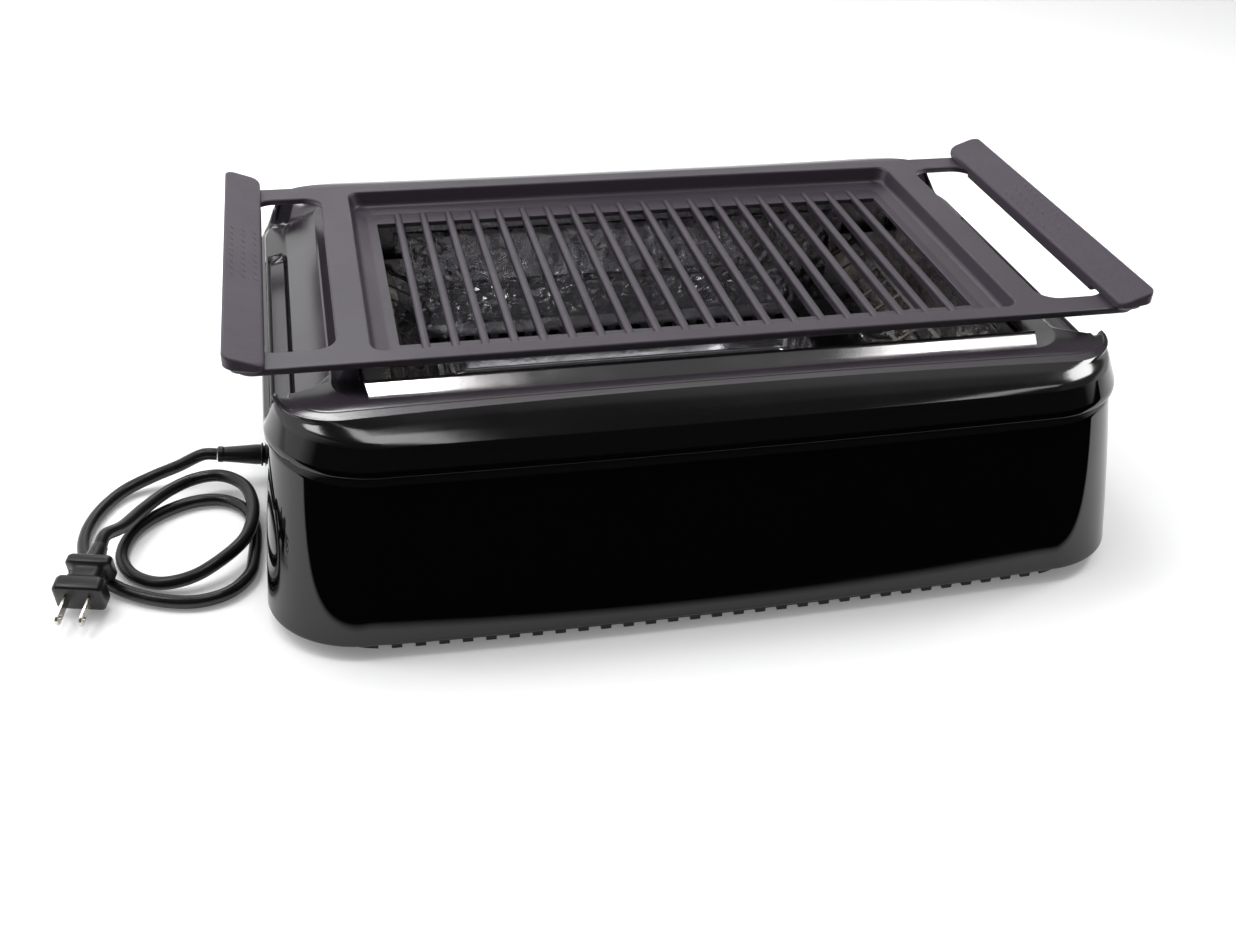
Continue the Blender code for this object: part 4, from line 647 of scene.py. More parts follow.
screwSteel = makeScrewSteel("screwSteel", (0.50, 0.50, 0.52), (0.26, 0.42))
bladeNickel = makeScrewSteel("bladeNickel", (0.66, 0.62, 0.55), (0.18, 0.32))
quartzGlass = makeQuartz()
ceramicWhite = makeCeramic()
coilWire = makeCoilWire()
print("materials made")


# Mains lead: strain relief, cord and plug

lead = {
    "diameter": 7.6 * mm,
    "wallFoot": inMm(249.0, 7.7),
    "wallTop": inMm(238.7, 105.6),
    "exitZ": 18.0 * mm,
    "belly": 0.8 * mm,
    "flange": inMm(7.2, 1.2),
    "relief": inMm(6.2, 4.6, 26.0),
    "stub": inMm(5.5, 11.2),
    "stubSink": 0.05 * mm,
    # straight start, slack over the tip, shares at the bend, neck and end bead, and the bead's rise
    "sleeve": (3.0 * mm, 0.5 * mm, 0.6, 0.86, 0.88, 0.35 * mm),
    "points": 260,
    "plugAt": inMm(-347.5, -119.0, 12.464),
    "plugAim": math.radians(-104),
    "plugDip": math.radians(10),
    "plugBody": 27.0 * mm,
    "plugNeck": 12.0 * mm,
    # half width, half thickness, length, chamfer along and across, root inside the plug, half spacing
    "blade": inMm(3.15, 0.75, 17.0, 2.2, 1.3, 2.0, 6.35),
    "bladeHole": inMm(1.6, 4.6, 2),
    # in mm like the plug's stations: count, start, pitch, middle and half sizes
    "plugRibs": (4, 12.6, 1.5, 8.2, 0.35, 1.2, 4.2),
}
# how far each point is out from the housing's foot, its y, and its lift in cord diameters
leadRoute = [
    (0.0510, 0.0010, 1.34), (0.0660, 0.0005, 0.62), (0.0830, -0.0070, 0.14),
    (0.0960, -0.0260, 0.03), (0.1020, -0.0480, 0.03), (0.1010, -0.0680, 0.03),
    (0.0940, -0.0850, 0.03), (0.0830, -0.0990, 0.03), (0.0700, -0.1095, 0.03),
    (0.0540, -0.1175, 0.03), (0.0370, -0.1205, 0.03), (0.0210, -0.1155, 0.03),
    (0.0100, -0.1020, 0.03), (0.0070, -0.0850, 0.03), (0.0070, -0.0540, 0.03),
    (0.0130, -0.0360, 0.03), (0.0250, -0.0255, 0.03), (0.0400, -0.0240, 0.03),
    (0.0560, -0.0305, 0.03), (0.0705, -0.0430, 0.03), (0.0785, -0.0585, 0.03),
    (0.0800, -0.0760, 0.03), (0.0725, -0.0925, 0.06), (0.0575, -0.1030, 0.22),
    (0.0400, -0.1030, 0.56), (0.0240, -0.0935, 0.95), (0.0120, -0.0790, 1.14),
    (0.0073, -0.0610, 1.14), (0.0073, -0.0400, 1.14), (0.0130, -0.0220, 1.14),
    (0.0260, -0.0110, 1.14), (0.0400, -0.0120, 1.14), (0.0550, -0.0220, 1.14),
    (0.0690, -0.0390, 1.14), (0.0795, -0.0590, 1.47),
]


def wallX(z):
    (footX, footZ), (topX, topZ) = lead["wallFoot"], lead["wallTop"]
    return footX + (topX - footX) * (z - footZ) / (topZ - footZ)


wallLean = math.atan2(
    lead["wallFoot"][0] - lead["wallTop"][0], lead["wallTop"][1] - lead["wallFoot"][1])
reliefOut = Vector((-math.cos(wallLean), 0, math.sin(wallLean)))
reliefAt = Vector((-wallX(lead["exitZ"]), 0, lead["exitZ"])) + reliefOut * lead["belly"]


def makeStrainRelief():
    # a tapered sleeve moulded on the lead, and the stub that snaps into the wall
    root, tip, length = lead["relief"]
    flange, flangeThick = lead["flange"]
    stub, stubLength = lead["stub"]
    sink, (start, slack, bend, neck, bead, swell) = lead["stubSink"], lead["sleeve"]
    profile = [
        (stub * 0.8, -stubLength), (stub, -stubLength), (stub, sink), (flange, sink), (flange, flangeThick),
        (root, flangeThick), (root, flangeThick + start), (tip + slack, flangeThick + length * bend),
        (tip, flangeThick + length * neck), (tip + swell, flangeThick + length * bead),
        (tip + swell, flangeThick + length - 0.6 * mm), (tip - 0.3 * mm, flangeThick + length),
    ]
    place = Matrix.Translation(reliefAt) @ reliefOut.to_track_quat("Z", "Y").to_matrix().to_4x4()
    bm = addTurned(bmesh.new(), roundedProfile(profile, swell), place, 40)
    return addPiece("strainRelief", bm, plugRubber, "housing", ["cord_strain_relief"])


plugTurn = Matrix.Rotation(lead["plugAim"], 4, "Z") @ Matrix.Rotation(lead["plugDip"], 4, "Y")
plugPlace = Matrix.Translation(lead["plugAt"]) @ plugTurn


def makePlug():
    # two-blade plug: face block, waist, finger collar and a tapered neck
    # each station is mm back from the face, half width, half height and roundness
    stations = [
        (0.0, 12.3, 7.8, 0.30), (-0.6, 13.1, 8.6, 0.34), (-1.6, 13.5, 9.0, 0.38),
        (-8.2, 13.5, 9.0, 0.38), (-9.6, 13.0, 8.6, 0.40), (-11.0, 10.0, 7.0, 0.55),
        (-13.0, 9.0, 6.5, 0.7), (-17.5, 9.0, 6.5, 0.7), (-19.4, 9.8, 6.9, 0.6),
        (-20.2, 11.9, 7.7, 0.4), (-21.0, 12.5, 8.0, 0.36), (-25.2, 12.5, 8.0, 0.36),
        (-26.2, 11.9, 7.6, 0.4), (-26.9, 7.5, 6.2, 0.8), (-27.6, 5.7, 5.7, 1.0),
        (-33.0, 5.0, 5.0, 1.0), (-38.4, 4.35, 4.35, 1.0), (-39.0, 3.9, 3.9, 1.0),
    ]
    rings = []
    for x, halfY, halfZ, roundness in stations:
        radius = min(halfY, halfZ) * roundness
        ring = []
        for index in range(48):
            angle = (index + 0.5) * math.tau / 48
            y = math.copysign(halfY - radius, math.cos(angle)) + radius * math.cos(angle)
            z = math.copysign(halfZ - radius, math.sin(angle)) + radius * math.sin(angle)
            ring.append(plugPlace @ (Vector((x, y, z)) * mm))
        rings.append(ring)
    plug = addPiece("plug", skin(rings, True, True), plugRubber, "housing", ["plug_body"], 50)
    count, start, pitch, middleY, halfX, halfY, halfZ = lead["plugRibs"]
    ribs = bmesh.new()
    for side in (-1, 1):
        for index in range(count):
            x, y = -start - index * pitch, side * middleY
            low = Vector((x - halfX, y - halfY, -halfZ)) * mm
            high = Vector((x + halfX, y + halfY, halfZ)) * mm
            addBox(ribs, low, high, plugPlace)
    grips = addPiece("plugGripRibs", ribs, plugRubber, "housing", ())
    roundedEdges(grips, 0.25 * mm)
    return plug, grips


def makeBlade(word, side):
    # a flat nickel blade with a chamfered tip and a hole near the end
    half, thick, length, chamferX, chamferY, root, spacing = lead["blade"]
    outline = [(-root, -half), (length - chamferX, -half), (length, -half + chamferY)]
    outline += [(length, half - chamferY), (length - chamferX, half), (-root, half)]
    y = side * spacing
    ends = [[Vector((a, y + offset, b)) for a, b in outline] for offset in (-thick, thick)]
    blade = meshObject("blade", skin(ends, True, True))
    holeRadius, holeBack, reach = lead["bladeHole"]
    turn = Matrix.Translation((length - holeBack, y, 0)) @ ontoY
    cut(blade, addTurned(bmesh.new(), [(holeRadius, -reach), (holeRadius, reach)], turn, 28))
    bm = takeMesh(blade)
    bmesh.ops.transform(bm, matrix=plugPlace, verts=bm.verts)
    piece = addPiece(f"{word}Blade", bm, bladeNickel, "housing", [f"plug_blade_{word}"])
    return roundedEdges(piece, 0.22 * mm, 2)


def makeLead():
    flange, length = lead["flange"][1], lead["relief"][2]
    start = reliefAt + reliefOut * (flange + length + fit)
    flat = math.cos(lead["plugDip"])
    aim = Vector((math.cos(lead["plugAim"]) * flat, math.sin(lead["plugAim"]) * flat,
                  -math.sin(lead["plugDip"])))
    neckEnd = Vector(lead["plugAt"]) - aim * (lead["plugBody"] + lead["plugNeck"])
    diameter = lead["diameter"]
    route = [start, start + reliefOut * diameter]
    for out, y, lift in leadRoute:
        route.append(Vector((-lead["wallFoot"][0] - out, y, diameter * (lift + 0.5))))
    route += [neckEnd - aim * (diameter + fit), neckEnd - aim * fit]
    points, length = smoothRoute(route, lead["points"])
    cord = wire("powerLead", points, diameter / 2, cordRubber)
    mount(cord, "housing", ["power_cord"])
    relief = makeStrainRelief()
    plug, grips = makePlug()
    blades = [makeBlade(word, side) for word, side in leftRight]
    print("lead laid:", round(length, 3), "m")


makeLead()


# Main body shell

bodySizes = {
    "foot": inMm(249.0, 179.4, 52.0, 49.0, 4.4),
    "seam": inMm(238.7, 163.0, 56.0, 53.0, 2.0),
    "belly": 0.8 * mm,
    "wall": 2.4 * mm,
    "roll": 1.4 * mm,
    "levels": 14,
    "steps": (40, 40, 30),
}


def bodySize(level):
    size = [a + (b - a) * level for a, b in zip(bodySizes["foot"], bodySizes["seam"])]
    bulge = 4 * level * (1 - level) * bodySizes["belly"]
    size[0] += bulge / 2
    size[1] += bulge
    return size


def makeBody():
    steps, roll = bodySizes["steps"], bodySizes["roll"]
    foot = list(bodySizes["foot"])
    foot[0] -= roll
    foot[1] -= roll
    rings = [ringOf([foot[0] - roll / 2, foot[1] - roll / 2, *foot[2:]], bodyLow.z, steps)]
    rings.append(ringOf(foot, bodyLow.z, steps))
    radii = [0, roll]
    height = bodyHigh.z - bodyLow.z
    for index in range(bodySizes["levels"] + 1):
        level = index / bodySizes["levels"]
        z = bodyLow.z + max(roll, height * level)
        rings.append(ringOf(bodySize(level), z, steps))
        radii.append(roll * 1.2 if index == 0 else 0)
    rings = roundedSection(rings, radii, 5)
    piece = addPiece("bodyShell", skin(rings), bodyGloss, "housing", ["lower_housing"], 60)
    shell = piece.modifiers.new("wall", "SOLIDIFY")
    shell.thickness = bodySizes["wall"]
    shell.offset = -1
    return piece


makeBody()
print("body made")


# Cover with its shoulder, land, scooped sides, side pockets and the mouth's lip

coverSizes = {
    # half x, half y, corner x, corner y, bow of the long sides
    "skirt": inMm(241.4, 165.7, 58.7, 55.7, 2.0),
    "band": inMm(236.0, 161.5, 56.0, 52.0, 1.5),
    "shoulder": inMm(235.4, 157.5, 50.0, 50.0, -1.3),
    "crown": inMm(234.0, 149.5, 43.5, 43.5, -3.9),
    "land": inMm(235.8, 142.8, 34.5, 34.5, -5.2),
    "pocketOut": inMm(234.4, 141.4, 34.0, 34.0, -5.2),
    "pocketIn": inMm(226.4, 136.2, 21.4, 21.4, -2.6),
    "groove": inMm(224.9, 135.2, 20.6, 20.6, -2.6),
    "panel": inMm(223.9, 134.5, 20.0, 20.0, -2.6),
    "rail": inMm(205.0, 126.6, 20.0, 20.0, 0.0),
    "ledge": inMm(197.5, 117.15, 13.5, 13.5, 0.0),
    "mouth": inMm(190.0, 106.0, 7.0, 7.0, 0.0),
    "rise": {
        "skirt": 3.0 * mm, "band": 15.2 * mm, "shoulder": 17.8 * mm,
        "crown": 20.4 * mm, "land": 22.2 * mm,
    },
    # how far each ring of the side recess goes down and out
    "sink": {
        "band": inMm(9.0, 1.4), "shoulder": inMm(10.4, 1.6), "crown": inMm(12.2, 2.8),
        "land": (13.4 * mm, 0.0),
    },
    "recessEnds": inMm(114.0, 132.0, 9.0),
    "pocket": inMm(102.0, 78.0, 2.2, 2.4),
    # where the back of the cover starts to rise, over what run, how far up and how far out
    "backLift": inMm(120.0, 20.0, 5.0, 4.0),
    "railDrop": 2.6 * mm,
    "lipDrop": 6.6 * mm,
    "wall": 2.2 * mm,
    "steps": (44, 40, 120),
}
lipSizes = {
    # section as (distance from the middle, height)
    "foot": inMm(124.2, 128.5),
    "top": inMm(116.7, 132.8),
    "low": 124.2 * mm,
    "halfX": 186.5 * mm,
    "sheet": 0.7 * mm,
    # how far the ends lean out for each step up
    "slant": 0.4,
}


def betweenEnds(y, front, back, run):
    return easeShare(min(y + front, back - y) / run)


def recessed(ring, depth, out=0.0, pocket=0.0):
    # lowers a ring's sides under the grips, and lifts the back of the cover a little
    points = []
    start, reach, up, away = coverSizes["backLift"]
    for point in ring:
        part = betweenEnds(point.y, *coverSizes["recessEnds"])
        front, back, run, deep = coverSizes["pocket"]
        sunk = betweenEnds(point.y, front, back, run) * deep * pocket
        x = point.x + math.copysign(out, point.x) * part
        lift = easeShare((point.y - start) / reach) * (point.z - coverLow.z) / coverSizes["rise"]["land"]
        points.append(Vector((x, point.y + away * lift, point.z + up * lift - depth * part - sunk)))
    return points


def makeCover():
    sizes = coverSizes
    steps, rise, sink = sizes["steps"], sizes["rise"], sizes["sink"]
    low = coverLow.z
    landZ = low + rise["land"]
    mouthZ = landZ - sizes["railDrop"]
    skirt = sizes["skirt"]
    inner = (skirt[0] - 0.9 * mm, skirt[1] - 0.9 * mm, *skirt[2:])
    deep = sink["land"][0]
    # ring, height, rounding, how far it sinks and moves out, share of the pocket
    rows = [
        (inner, low, 0, 0, 0, 0),
        (skirt, low, 0.6 * mm, 0, 0, 0),
        (skirt, low + rise["skirt"], 2.0 * mm, 0, 0, 0),
        (sizes["band"], low + rise["band"], 0.5 * mm, *sink["band"], 0),
        (sizes["shoulder"], low + rise["shoulder"], 3.5 * mm, *sink["shoulder"], 0),
        (sizes["crown"], low + rise["crown"], 2.6 * mm, *sink["crown"], 0),
        (sizes["land"], landZ - 0.2 * mm, 0.4 * mm, deep, 0, 0),
        (sizes["pocketOut"], landZ - 0.1 * mm, 0.4 * mm, deep, 0, 1),
        (sizes["pocketIn"], landZ + 0.3 * mm, 0.5 * mm, deep, 0, 1),
        (sizes["groove"], landZ + 0.3 * mm, 0.3 * mm, deep, 0, 2.4),
        (sizes["panel"], landZ + 0.4 * mm, 0.5 * mm, deep, 0, 0),
        (sizes["rail"], landZ + 0.9 * mm, 0.9 * mm, 0, 0, 0),
        (sizes["ledge"], landZ - sizes["railDrop"] / 2, 0, 0, 0, 0),
        (sizes["mouth"], mouthZ, 0.8 * mm, 0, 0, 0),
        (sizes["mouth"], mouthZ - sizes["lipDrop"], 0, 0, 0, 0),
    ]
    rings = [recessed(ringOf(size, z, steps), *rest) for size, z, radius, *rest in rows]
    turns = 5
    radii = [row[2] for row in rows]
    rings = roundedSection(rings, radii, turns)
    piece = addPiece("coverShell", skin(rings), bodyGloss, "housing", ["upper_housing"], 50)
    # the gloss ends at the top of the band, and the shoulder at the land's edge, where the top's painted
    # light begins
    starts = []
    for material, row in ((shoulderSatin, 3), (topPaintedLight, 6)):
        piece.data.materials.append(material)
        starts.append(sum(turns + 1 if radius else 1 for radius in radii[:row]) + turns // 2)
    for polygon in piece.data.polygons:
        polygon.material_index = sum(polygon.index // len(rings[0]) >= start for start in starts)
    shell = piece.modifiers.new("wall", "SOLIDIFY")
    shell.thickness = sizes["wall"]
    shell.offset = -1
    return piece


def makeMouthLips():
    # bright folded strips that stand up along the front and back of the mouth
    foot, top, slant = Vector(lipSizes["foot"]), Vector(lipSizes["top"]), lipSizes["slant"]
    path = [foot + Vector((1.2, -0.9)) * mm]
    path += [foot + (top - foot) * step / 4 for step in range(4)]
    path += [top + Vector(step) * mm for step in ((0, 0), (-0.6, -0.1), (-0.9, -0.8))]
    path.append(Vector((top.x - 1.0 * mm, lipSizes["low"])))
    for word, side in frontBack:

        def place(a, b, along):
            return Vector((along + math.copysign((b - foot.y) * slant, along), side * a, b))

        bm = bentSheet(path, lipSizes["sheet"], lipSizes["halfX"], place, 40)
        addPiece(f"{word}MouthLip", bm, lipSheet, "housing", (), 40)


makeMouthLips()
makeCover()
print("cover made")


# Base plate with its vents, feet and screws

baseSizes = {
    "rim": inMm(244.4, 174.8, 48.0, 45.0, 4.4),
    "band": inMm(240.8, 174.8, 60.0, 58.0, 4.4),
    "inner": inMm(238.4, 172.4, 57.6, 55.6, 4.4),
    "bandTop": 6.8 * mm,
    "floor": inMm(4.0, 6.5),
    "rimTop": 10.5 * mm,
    "notch": (31, 12.6 * mm, 7.0 * mm, 2.6 * mm),
    "notchReach": (0.166, 0.182),
    # place, radius, how deep it stands in the floor, and the radius of its hole
    "post": inMm(150.0, 75.0, 6.0, 1.2, 1.8),
    "pad": inMm(185.0, 130.0, 9.0),
    "louvres": (9, 15.0 * mm, 60.0 * mm, 5.0 * mm, 0.9 * mm),
    "louvreStart": 0.020,
    "steps": (30, 30, 24),
}
cornerPlaces = [(f"{end}_{word}", side, sign) for end, sign in frontBack for word, side in leftRight]


# head radius and thickness, shank radius, thread pitch and core, half width and reach of the recess
screwSizes = inMm(3.6, 1.6, 1.45, 0.7, 1.17, 0.42, 2.0)


def makeBase():
    sizes, steps = baseSizes, baseSizes["steps"]
    low, (floorLow, floorTop) = baseLow.z, sizes["floor"]
    rows = [
        (sizes["inner"], floorLow, 0), (sizes["inner"], low, 0.4 * mm), (sizes["band"], low, 0.5 * mm),
        (sizes["band"], sizes["bandTop"], 0.3 * mm), (sizes["rim"], sizes["bandTop"] + fit, 0.4 * mm),
        (sizes["rim"], sizes["rimTop"], 0.4 * mm), (sizes["inner"], sizes["rimTop"], 0.4 * mm),
        (sizes["inner"], floorTop, 0),
    ]
    rings = [ringOf(size, z, steps) for size, z, radius in rows]
    bm = skin(roundedSection(rings, [row[2] for row in rows], 2), True, True)
    base = meshObject("basePlate", bm)
    *notches, height = sizes["notch"]
    cutters = bmesh.new()
    addBoxRow(cutters, notches, bothSides(*sizes["notchReach"]), low - over, low + height)
    count, pitch, length, width, depth = sizes["louvres"]
    spans = bothSides(sizes["louvreStart"], sizes["louvreStart"] + length)
    addBoxRow(cutters, (count, pitch, width), spans, low, floorLow + depth)
    cut(base, cutters)
    posts, holes = bmesh.new(), bmesh.new()
    x, y, radius, sunk, hole = sizes["post"]
    for _, signX, signY in cornerPlaces:
        place = Matrix.Translation((signX * x, signY * y, 0))
        addTurned(posts, [(radius, floorLow + sunk), (radius, baseHigh.z)], place)
        addTurned(holes, [(hole, low - over), (hole, baseHigh.z + over)], place, 24)
    cut(base, posts, "UNION")
    cut(base, holes)
    return evenNormals(addPiece("basePlate", takeMesh(base), basePlastic, "housing", ["base_plate"]))


def nodeWord(name):
    first, second = name.split("_")
    return first + second.capitalize()


def makeFeet():
    # rubber pads with a raised ring, pushed up against the floor
    x, y, radius = baseSizes["pad"]
    for name, signX, signY in cornerPlaces:
        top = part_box(f"foot_{name}")[1].z
        profile = [(radius * 0.3, 0.35 * mm), (radius * 0.62, 0.35 * mm), (radius * 0.68, 0),
                   (radius * 0.86, 0), (radius * 0.94, 0.7 * mm), (radius, top), (radius * 0.3, top)]
        bm = addTurned(bmesh.new(), roundedProfile(profile, 0.3 * mm),
                       Matrix.Translation((signX * x, signY * y, 0)), 48)
        addPiece(f"{nodeWord(name)}Foot", bm, footRubber, "housing", [f"foot_{name}"])


def makeScrew(name, node, body):
    # pan-head screw, head down, with a cross recess and a threaded shank
    head, thick, shank, pitch, core, halfWidth, halfReach = screwSizes
    low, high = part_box(node)
    at = ((low.x + high.x) / 2, (low.y + high.y) / 2, low.z + thick)
    length = high.z - at[2]
    profile = [(head * 0.3, -thick), (head * 0.78, -thick), (head, -thick * 0.45), (head, 0), (shank, 0)]
    profile = roundedProfile(profile, 0.4 * mm)
    turns = 0.0
    while turns < length - 2 * pitch:
        profile += [(shank, turns + 0.1 * mm), (core, turns + pitch / 2)]
        turns += pitch
    profile += [(shank * 0.9, length - 0.8 * mm), (shank * 0.3, length)]
    screw = meshObject(name, addTurned(bmesh.new(), profile, Matrix.Translation(at)))
    for angle, floor in ((0, -0.45 * mm), (math.pi / 2, -0.46 * mm)):
        # the two slots are cut one by one, and their floors don't meet
        place = Matrix.Translation(at) @ Matrix.Rotation(angle + 0.6, 4, "Z")
        recess = bmesh.new()
        addBox(recess, (-halfReach, -halfWidth, -thick - 1 * mm), (halfReach, halfWidth, floor), place)
        cut(screw, recess)
    addPiece(name, takeMesh(screw), screwSteel, body, [node], 30)


makeBase()
makeFeet()
for name, *_ in cornerPlaces:
    makeScrew(f"{nodeWord(name)}BaseScrew", f"base_screw_{name}", "housing")
print("base, feet and screws made")


# Grate: flat border with arms, sunk pan, cross bars and rests

grateSizes = {
    "outline": inMm(252.4, 115.5, 10.0),
    "thick": 4.0 * mm,
    "edge": 1.2 * mm,
    "opening": inMm(200.3, 241.9, 98.0, 12.0),
    "sunk": inMm(183.0, 104.0, 8.0),
    "foot": 2.5 * mm,
    "stepDepth": 9.2 * mm,
    "stepIn": 8.0 * mm,
    "stepDrop": 2.4 * mm,
    "wall": 3.0 * mm,
    "window": inMm(166.7, 79.0),
    "bars": (20, 4.8 * mm, 1.6 * mm, 4.4 * mm, 92.5 * mm),
    "rest": inMm(194.5, 3.0, 85.0),
    "steps": (14, 8, 8),
}


def quarterTurn(edge):
    # a rounded edge in five steps: how far in from the side, and how far up from the face
    angles = [math.pi / 2 * turn / 4 for turn in range(5)]
    return [(edge * (1 - math.sin(angle)), edge * (1 - math.cos(angle))) for angle in angles]


def stack(rows, size, centre, steps, bm=None):
    # a solid from rounded rectangles; each row is how far out from the size, and the height
    halfX, halfY, corner = size
    middle = Vector((*centre, 0))
    made = []
    for out, z in rows:
        ring = squareRing(halfX + out, halfY + out, max(corner + out, 0.4 * mm), z, steps)
        made.append([point + middle for point in ring])
    return skin(made, True, True, bm=bm)


def roundedSlab(size, low, high, edge, steps):
    # a plate with rounded corners and soft edges
    rows = [(-inset, low + rise) for inset, rise in quarterTurn(edge)]
    rows += [(-rise, high - inset) for inset, rise in quarterTurn(edge)]
    return stack(rows, size, (0, 0), steps)


def flaredHole(bm, size, low, high, edge, steps, centre=(0, 0)):
    # a cutter whose mouth flares, so that the cut edge comes out round
    rows = [(edge, low - over)]
    rows += [(inset, low + rise) for inset, rise in quarterTurn(edge)]
    rows += [(rise, high - inset) for inset, rise in quarterTurn(edge)]
    rows.append((edge, high + over))
    return stack(rows, size, centre, steps, bm)


def barSection(width, rise, hang):
    # half round on top, tapered below
    points = [(-width * 0.34, -hang), (width * 0.34, -hang), (width / 2, -0.4 * mm)]
    for turn in range(9):
        angle = math.pi * turn / 8
        points.append((width / 2 * math.cos(angle), rise * math.sin(angle)))
    points.append((-width / 2, -0.4 * mm))
    return points


def makeGrate():
    sizes, steps = grateSizes, grateSizes["steps"]
    top, thick, edge = grateHigh.z, sizes["thick"], sizes["edge"]
    grate = meshObject("grate", roundedSlab(sizes["outline"], top - thick, top, edge, steps))
    opens = bmesh.new()
    inX, outX, halfY, corner = sizes["opening"]
    for side in (-1, 1):
        centre = (side * (inX + outX) / 2, 0)
        flaredHole(opens, ((outX - inX) / 2, halfY, corner), top - thick, top, edge, steps, centre)
    cut(grate, opens)
    sunkX, sunkY, corner = sizes["sunk"]
    footX, footY = sunkX - sizes["foot"], sunkY - sizes["foot"]
    floorX, floorY = footX - sizes["stepIn"], footY - sizes["stepIn"]
    stepZ = top - sizes["stepDepth"]
    floorZ = stepZ - sizes["stepDrop"]
    wall, turn = sizes["wall"], 2 * mm
    # half sizes, how far out from them, how much rounder the corner is, height, rounding
    pan = [
        (floorX, floorY, wall, 0, floorZ - wall, 0), (footX, footY, wall, 0, stepZ - wall / 2, 3 * mm),
        (sunkX, sunkY, wall, 0, top - thick / 2, 0),
    ]
    sunk = [
        (floorX, floorY, -turn, 0, floorZ, 0), (floorX, floorY, 0, 0, floorZ, 1.4 * mm),
        (footX, footY, 0, 0, stepZ, 2.4 * mm), (sunkX, sunkY, 0, 0, top, 1.5 * mm),
        (sunkX, sunkY, turn, turn, top + 0.01 * mm, 0), (sunkX, sunkY, turn, turn, top + 2 * turn, 0),
    ]
    for rows, turns, operation in ((pan, 5, "UNION"), (sunk, 6, "DIFFERENCE")):
        rings = [squareRing(x + out, y + out, corner + rounder, z, steps)
                 for x, y, out, rounder, z, _ in rows]
        cut(grate, skin(roundedSection(rings, [row[-1] for row in rows], turns), True, True), operation)
    halfX, halfY = sizes["window"]
    window = flaredHole(bmesh.new(), (halfX, halfY, 0.6 * mm), floorZ - wall, floorZ, 0.5 * mm, (3, 1, 1))
    cut(grate, window)
    count, width, rise, hang, reach = sizes["bars"]
    gap = (2 * halfX - count * width) / (count + 1)
    section = barSection(width, rise, hang)
    bars = bmesh.new()
    for index in range(count):
        x = -halfX + gap + width / 2 + index * (gap + width)
        rows = []
        for y, low in ((-reach, 0.75), (-reach + 1.2 * mm, 0.35), (-reach + 3 * mm, 0.0),
                       (reach - 3 * mm, 0.0), (reach - 1.2 * mm, 0.35), (reach, 0.75)):
            rows.append([Vector((x + a, y, floorZ + (b - low * b if b > 0 else b))) for a, b in section])
        skin(rows, True, True, bm=bars)
    cut(grate, bars, "UNION")
    rests = bmesh.new()
    restX, restThick, restY = sizes["rest"]
    for side in (-1, 1):
        low = (side * restX - restThick / 2, -restY, grateLow.z)
        addBox(rests, low, (side * restX + restThick / 2, restY, top - thick / 2))
    cut(grate, rests, "UNION")
    bm = takeMesh(grate)
    evenNormals(addPiece("grateCasting", bm, grateCoat, "grate", ["grill_grate"], 32))


makeGrate()
print("grate made")


# Grips with their raised dashes and screws

gripSizes = {
    "inner": 236.9 * mm,
    "outer": 257.4 * mm,
    "halfY": 121.5 * mm,
    "corner": 6.0 * mm,
    "edge": 1.6 * mm,
    "top": inMm(148.4, 155.9),
    "under": inMm(140.0, 143.2),
    "undercut": inMm(5.0, 5.2),
    # near, far, half length, bottom and top of the hollow under the grip
    "channel": inMm(241.6, 252.7, 114.0, 130.0, 143.8),
    # where the arms enter: near, far, reach out and in, and how far the faces stay clear of the hollow's
    "armSlot": inMm(86.0, 115.8, 4, 5, 1.0, 0.04),
    # count, pitch, length, half width, rise
    "dash": (9, 7.6 * mm, 6.0 * mm, 0.6 * mm, 0.42 * mm),
    "dashColumns": inMm(240.6, 246.9, 253.2),
    "dashMiddle": 6.0 * mm,
    "dashSlant": math.radians(24),
}


def gripHeight(x, ends):
    along = (abs(x) - gripSizes["inner"]) / (gripSizes["outer"] - gripSizes["inner"])
    return ends[0] + (ends[1] - ends[0]) * along


def makeGrip(word, side):
    sizes, steps = gripSizes, (12, 8, 24)
    middle = (sizes["inner"] + sizes["outer"]) / 2
    halfX = (sizes["outer"] - sizes["inner"]) / 2
    halfY, corner = sizes["halfY"], sizes["corner"]
    turnIn, turnUp = sizes["undercut"]
    rows = []

    def addRow(inset, tuck, ends, up):
        row = []
        for point in squareRing(halfX - inset, halfY - inset - tuck, corner - inset, 0, steps):
            x = middle + point.x - tuck * 0.5 * max(point.x / halfX, 0)
            row.append(Vector((side * x, point.y, gripHeight(x, ends) + up)))
        rows.append(row)

    for inset, rise in quarterTurn(sizes["edge"]):
        addRow(inset, turnIn, sizes["under"], rise)
    # the outer side and the ends rise square above a turned-in foot
    addRow(0, 0, sizes["under"], turnUp)
    for inset, rise in quarterTurn(sizes["edge"])[::-1]:
        addRow(inset, 0, sizes["top"], -rise)
    grip = meshObject("grip", skin(rows, True, True))
    near, far, halfChannel, low, top = sizes["channel"]
    xs = onSide(side, near, far)
    channel = bmesh.new()
    addBox(channel, (xs[0], -halfChannel, low), (xs[1], halfChannel, top))
    cut(grip, channel)
    slotNear, slotFar, reachOut, reachIn, lift, drop = sizes["armSlot"]
    xs = onSide(side, sizes["inner"] - reachOut, near + reachIn)
    for ys in bothSides(slotNear, slotFar):
        slot = bmesh.new()
        addBox(slot, (xs[0], ys[0], low + lift), (xs[1], ys[1], top - drop))
        cut(grip, slot)
    bm = takeMesh(grip)
    evenNormals(addPiece(f"{word}Grip", bm, gripPlastic, "grate", [f"{word}_handle"], 32))


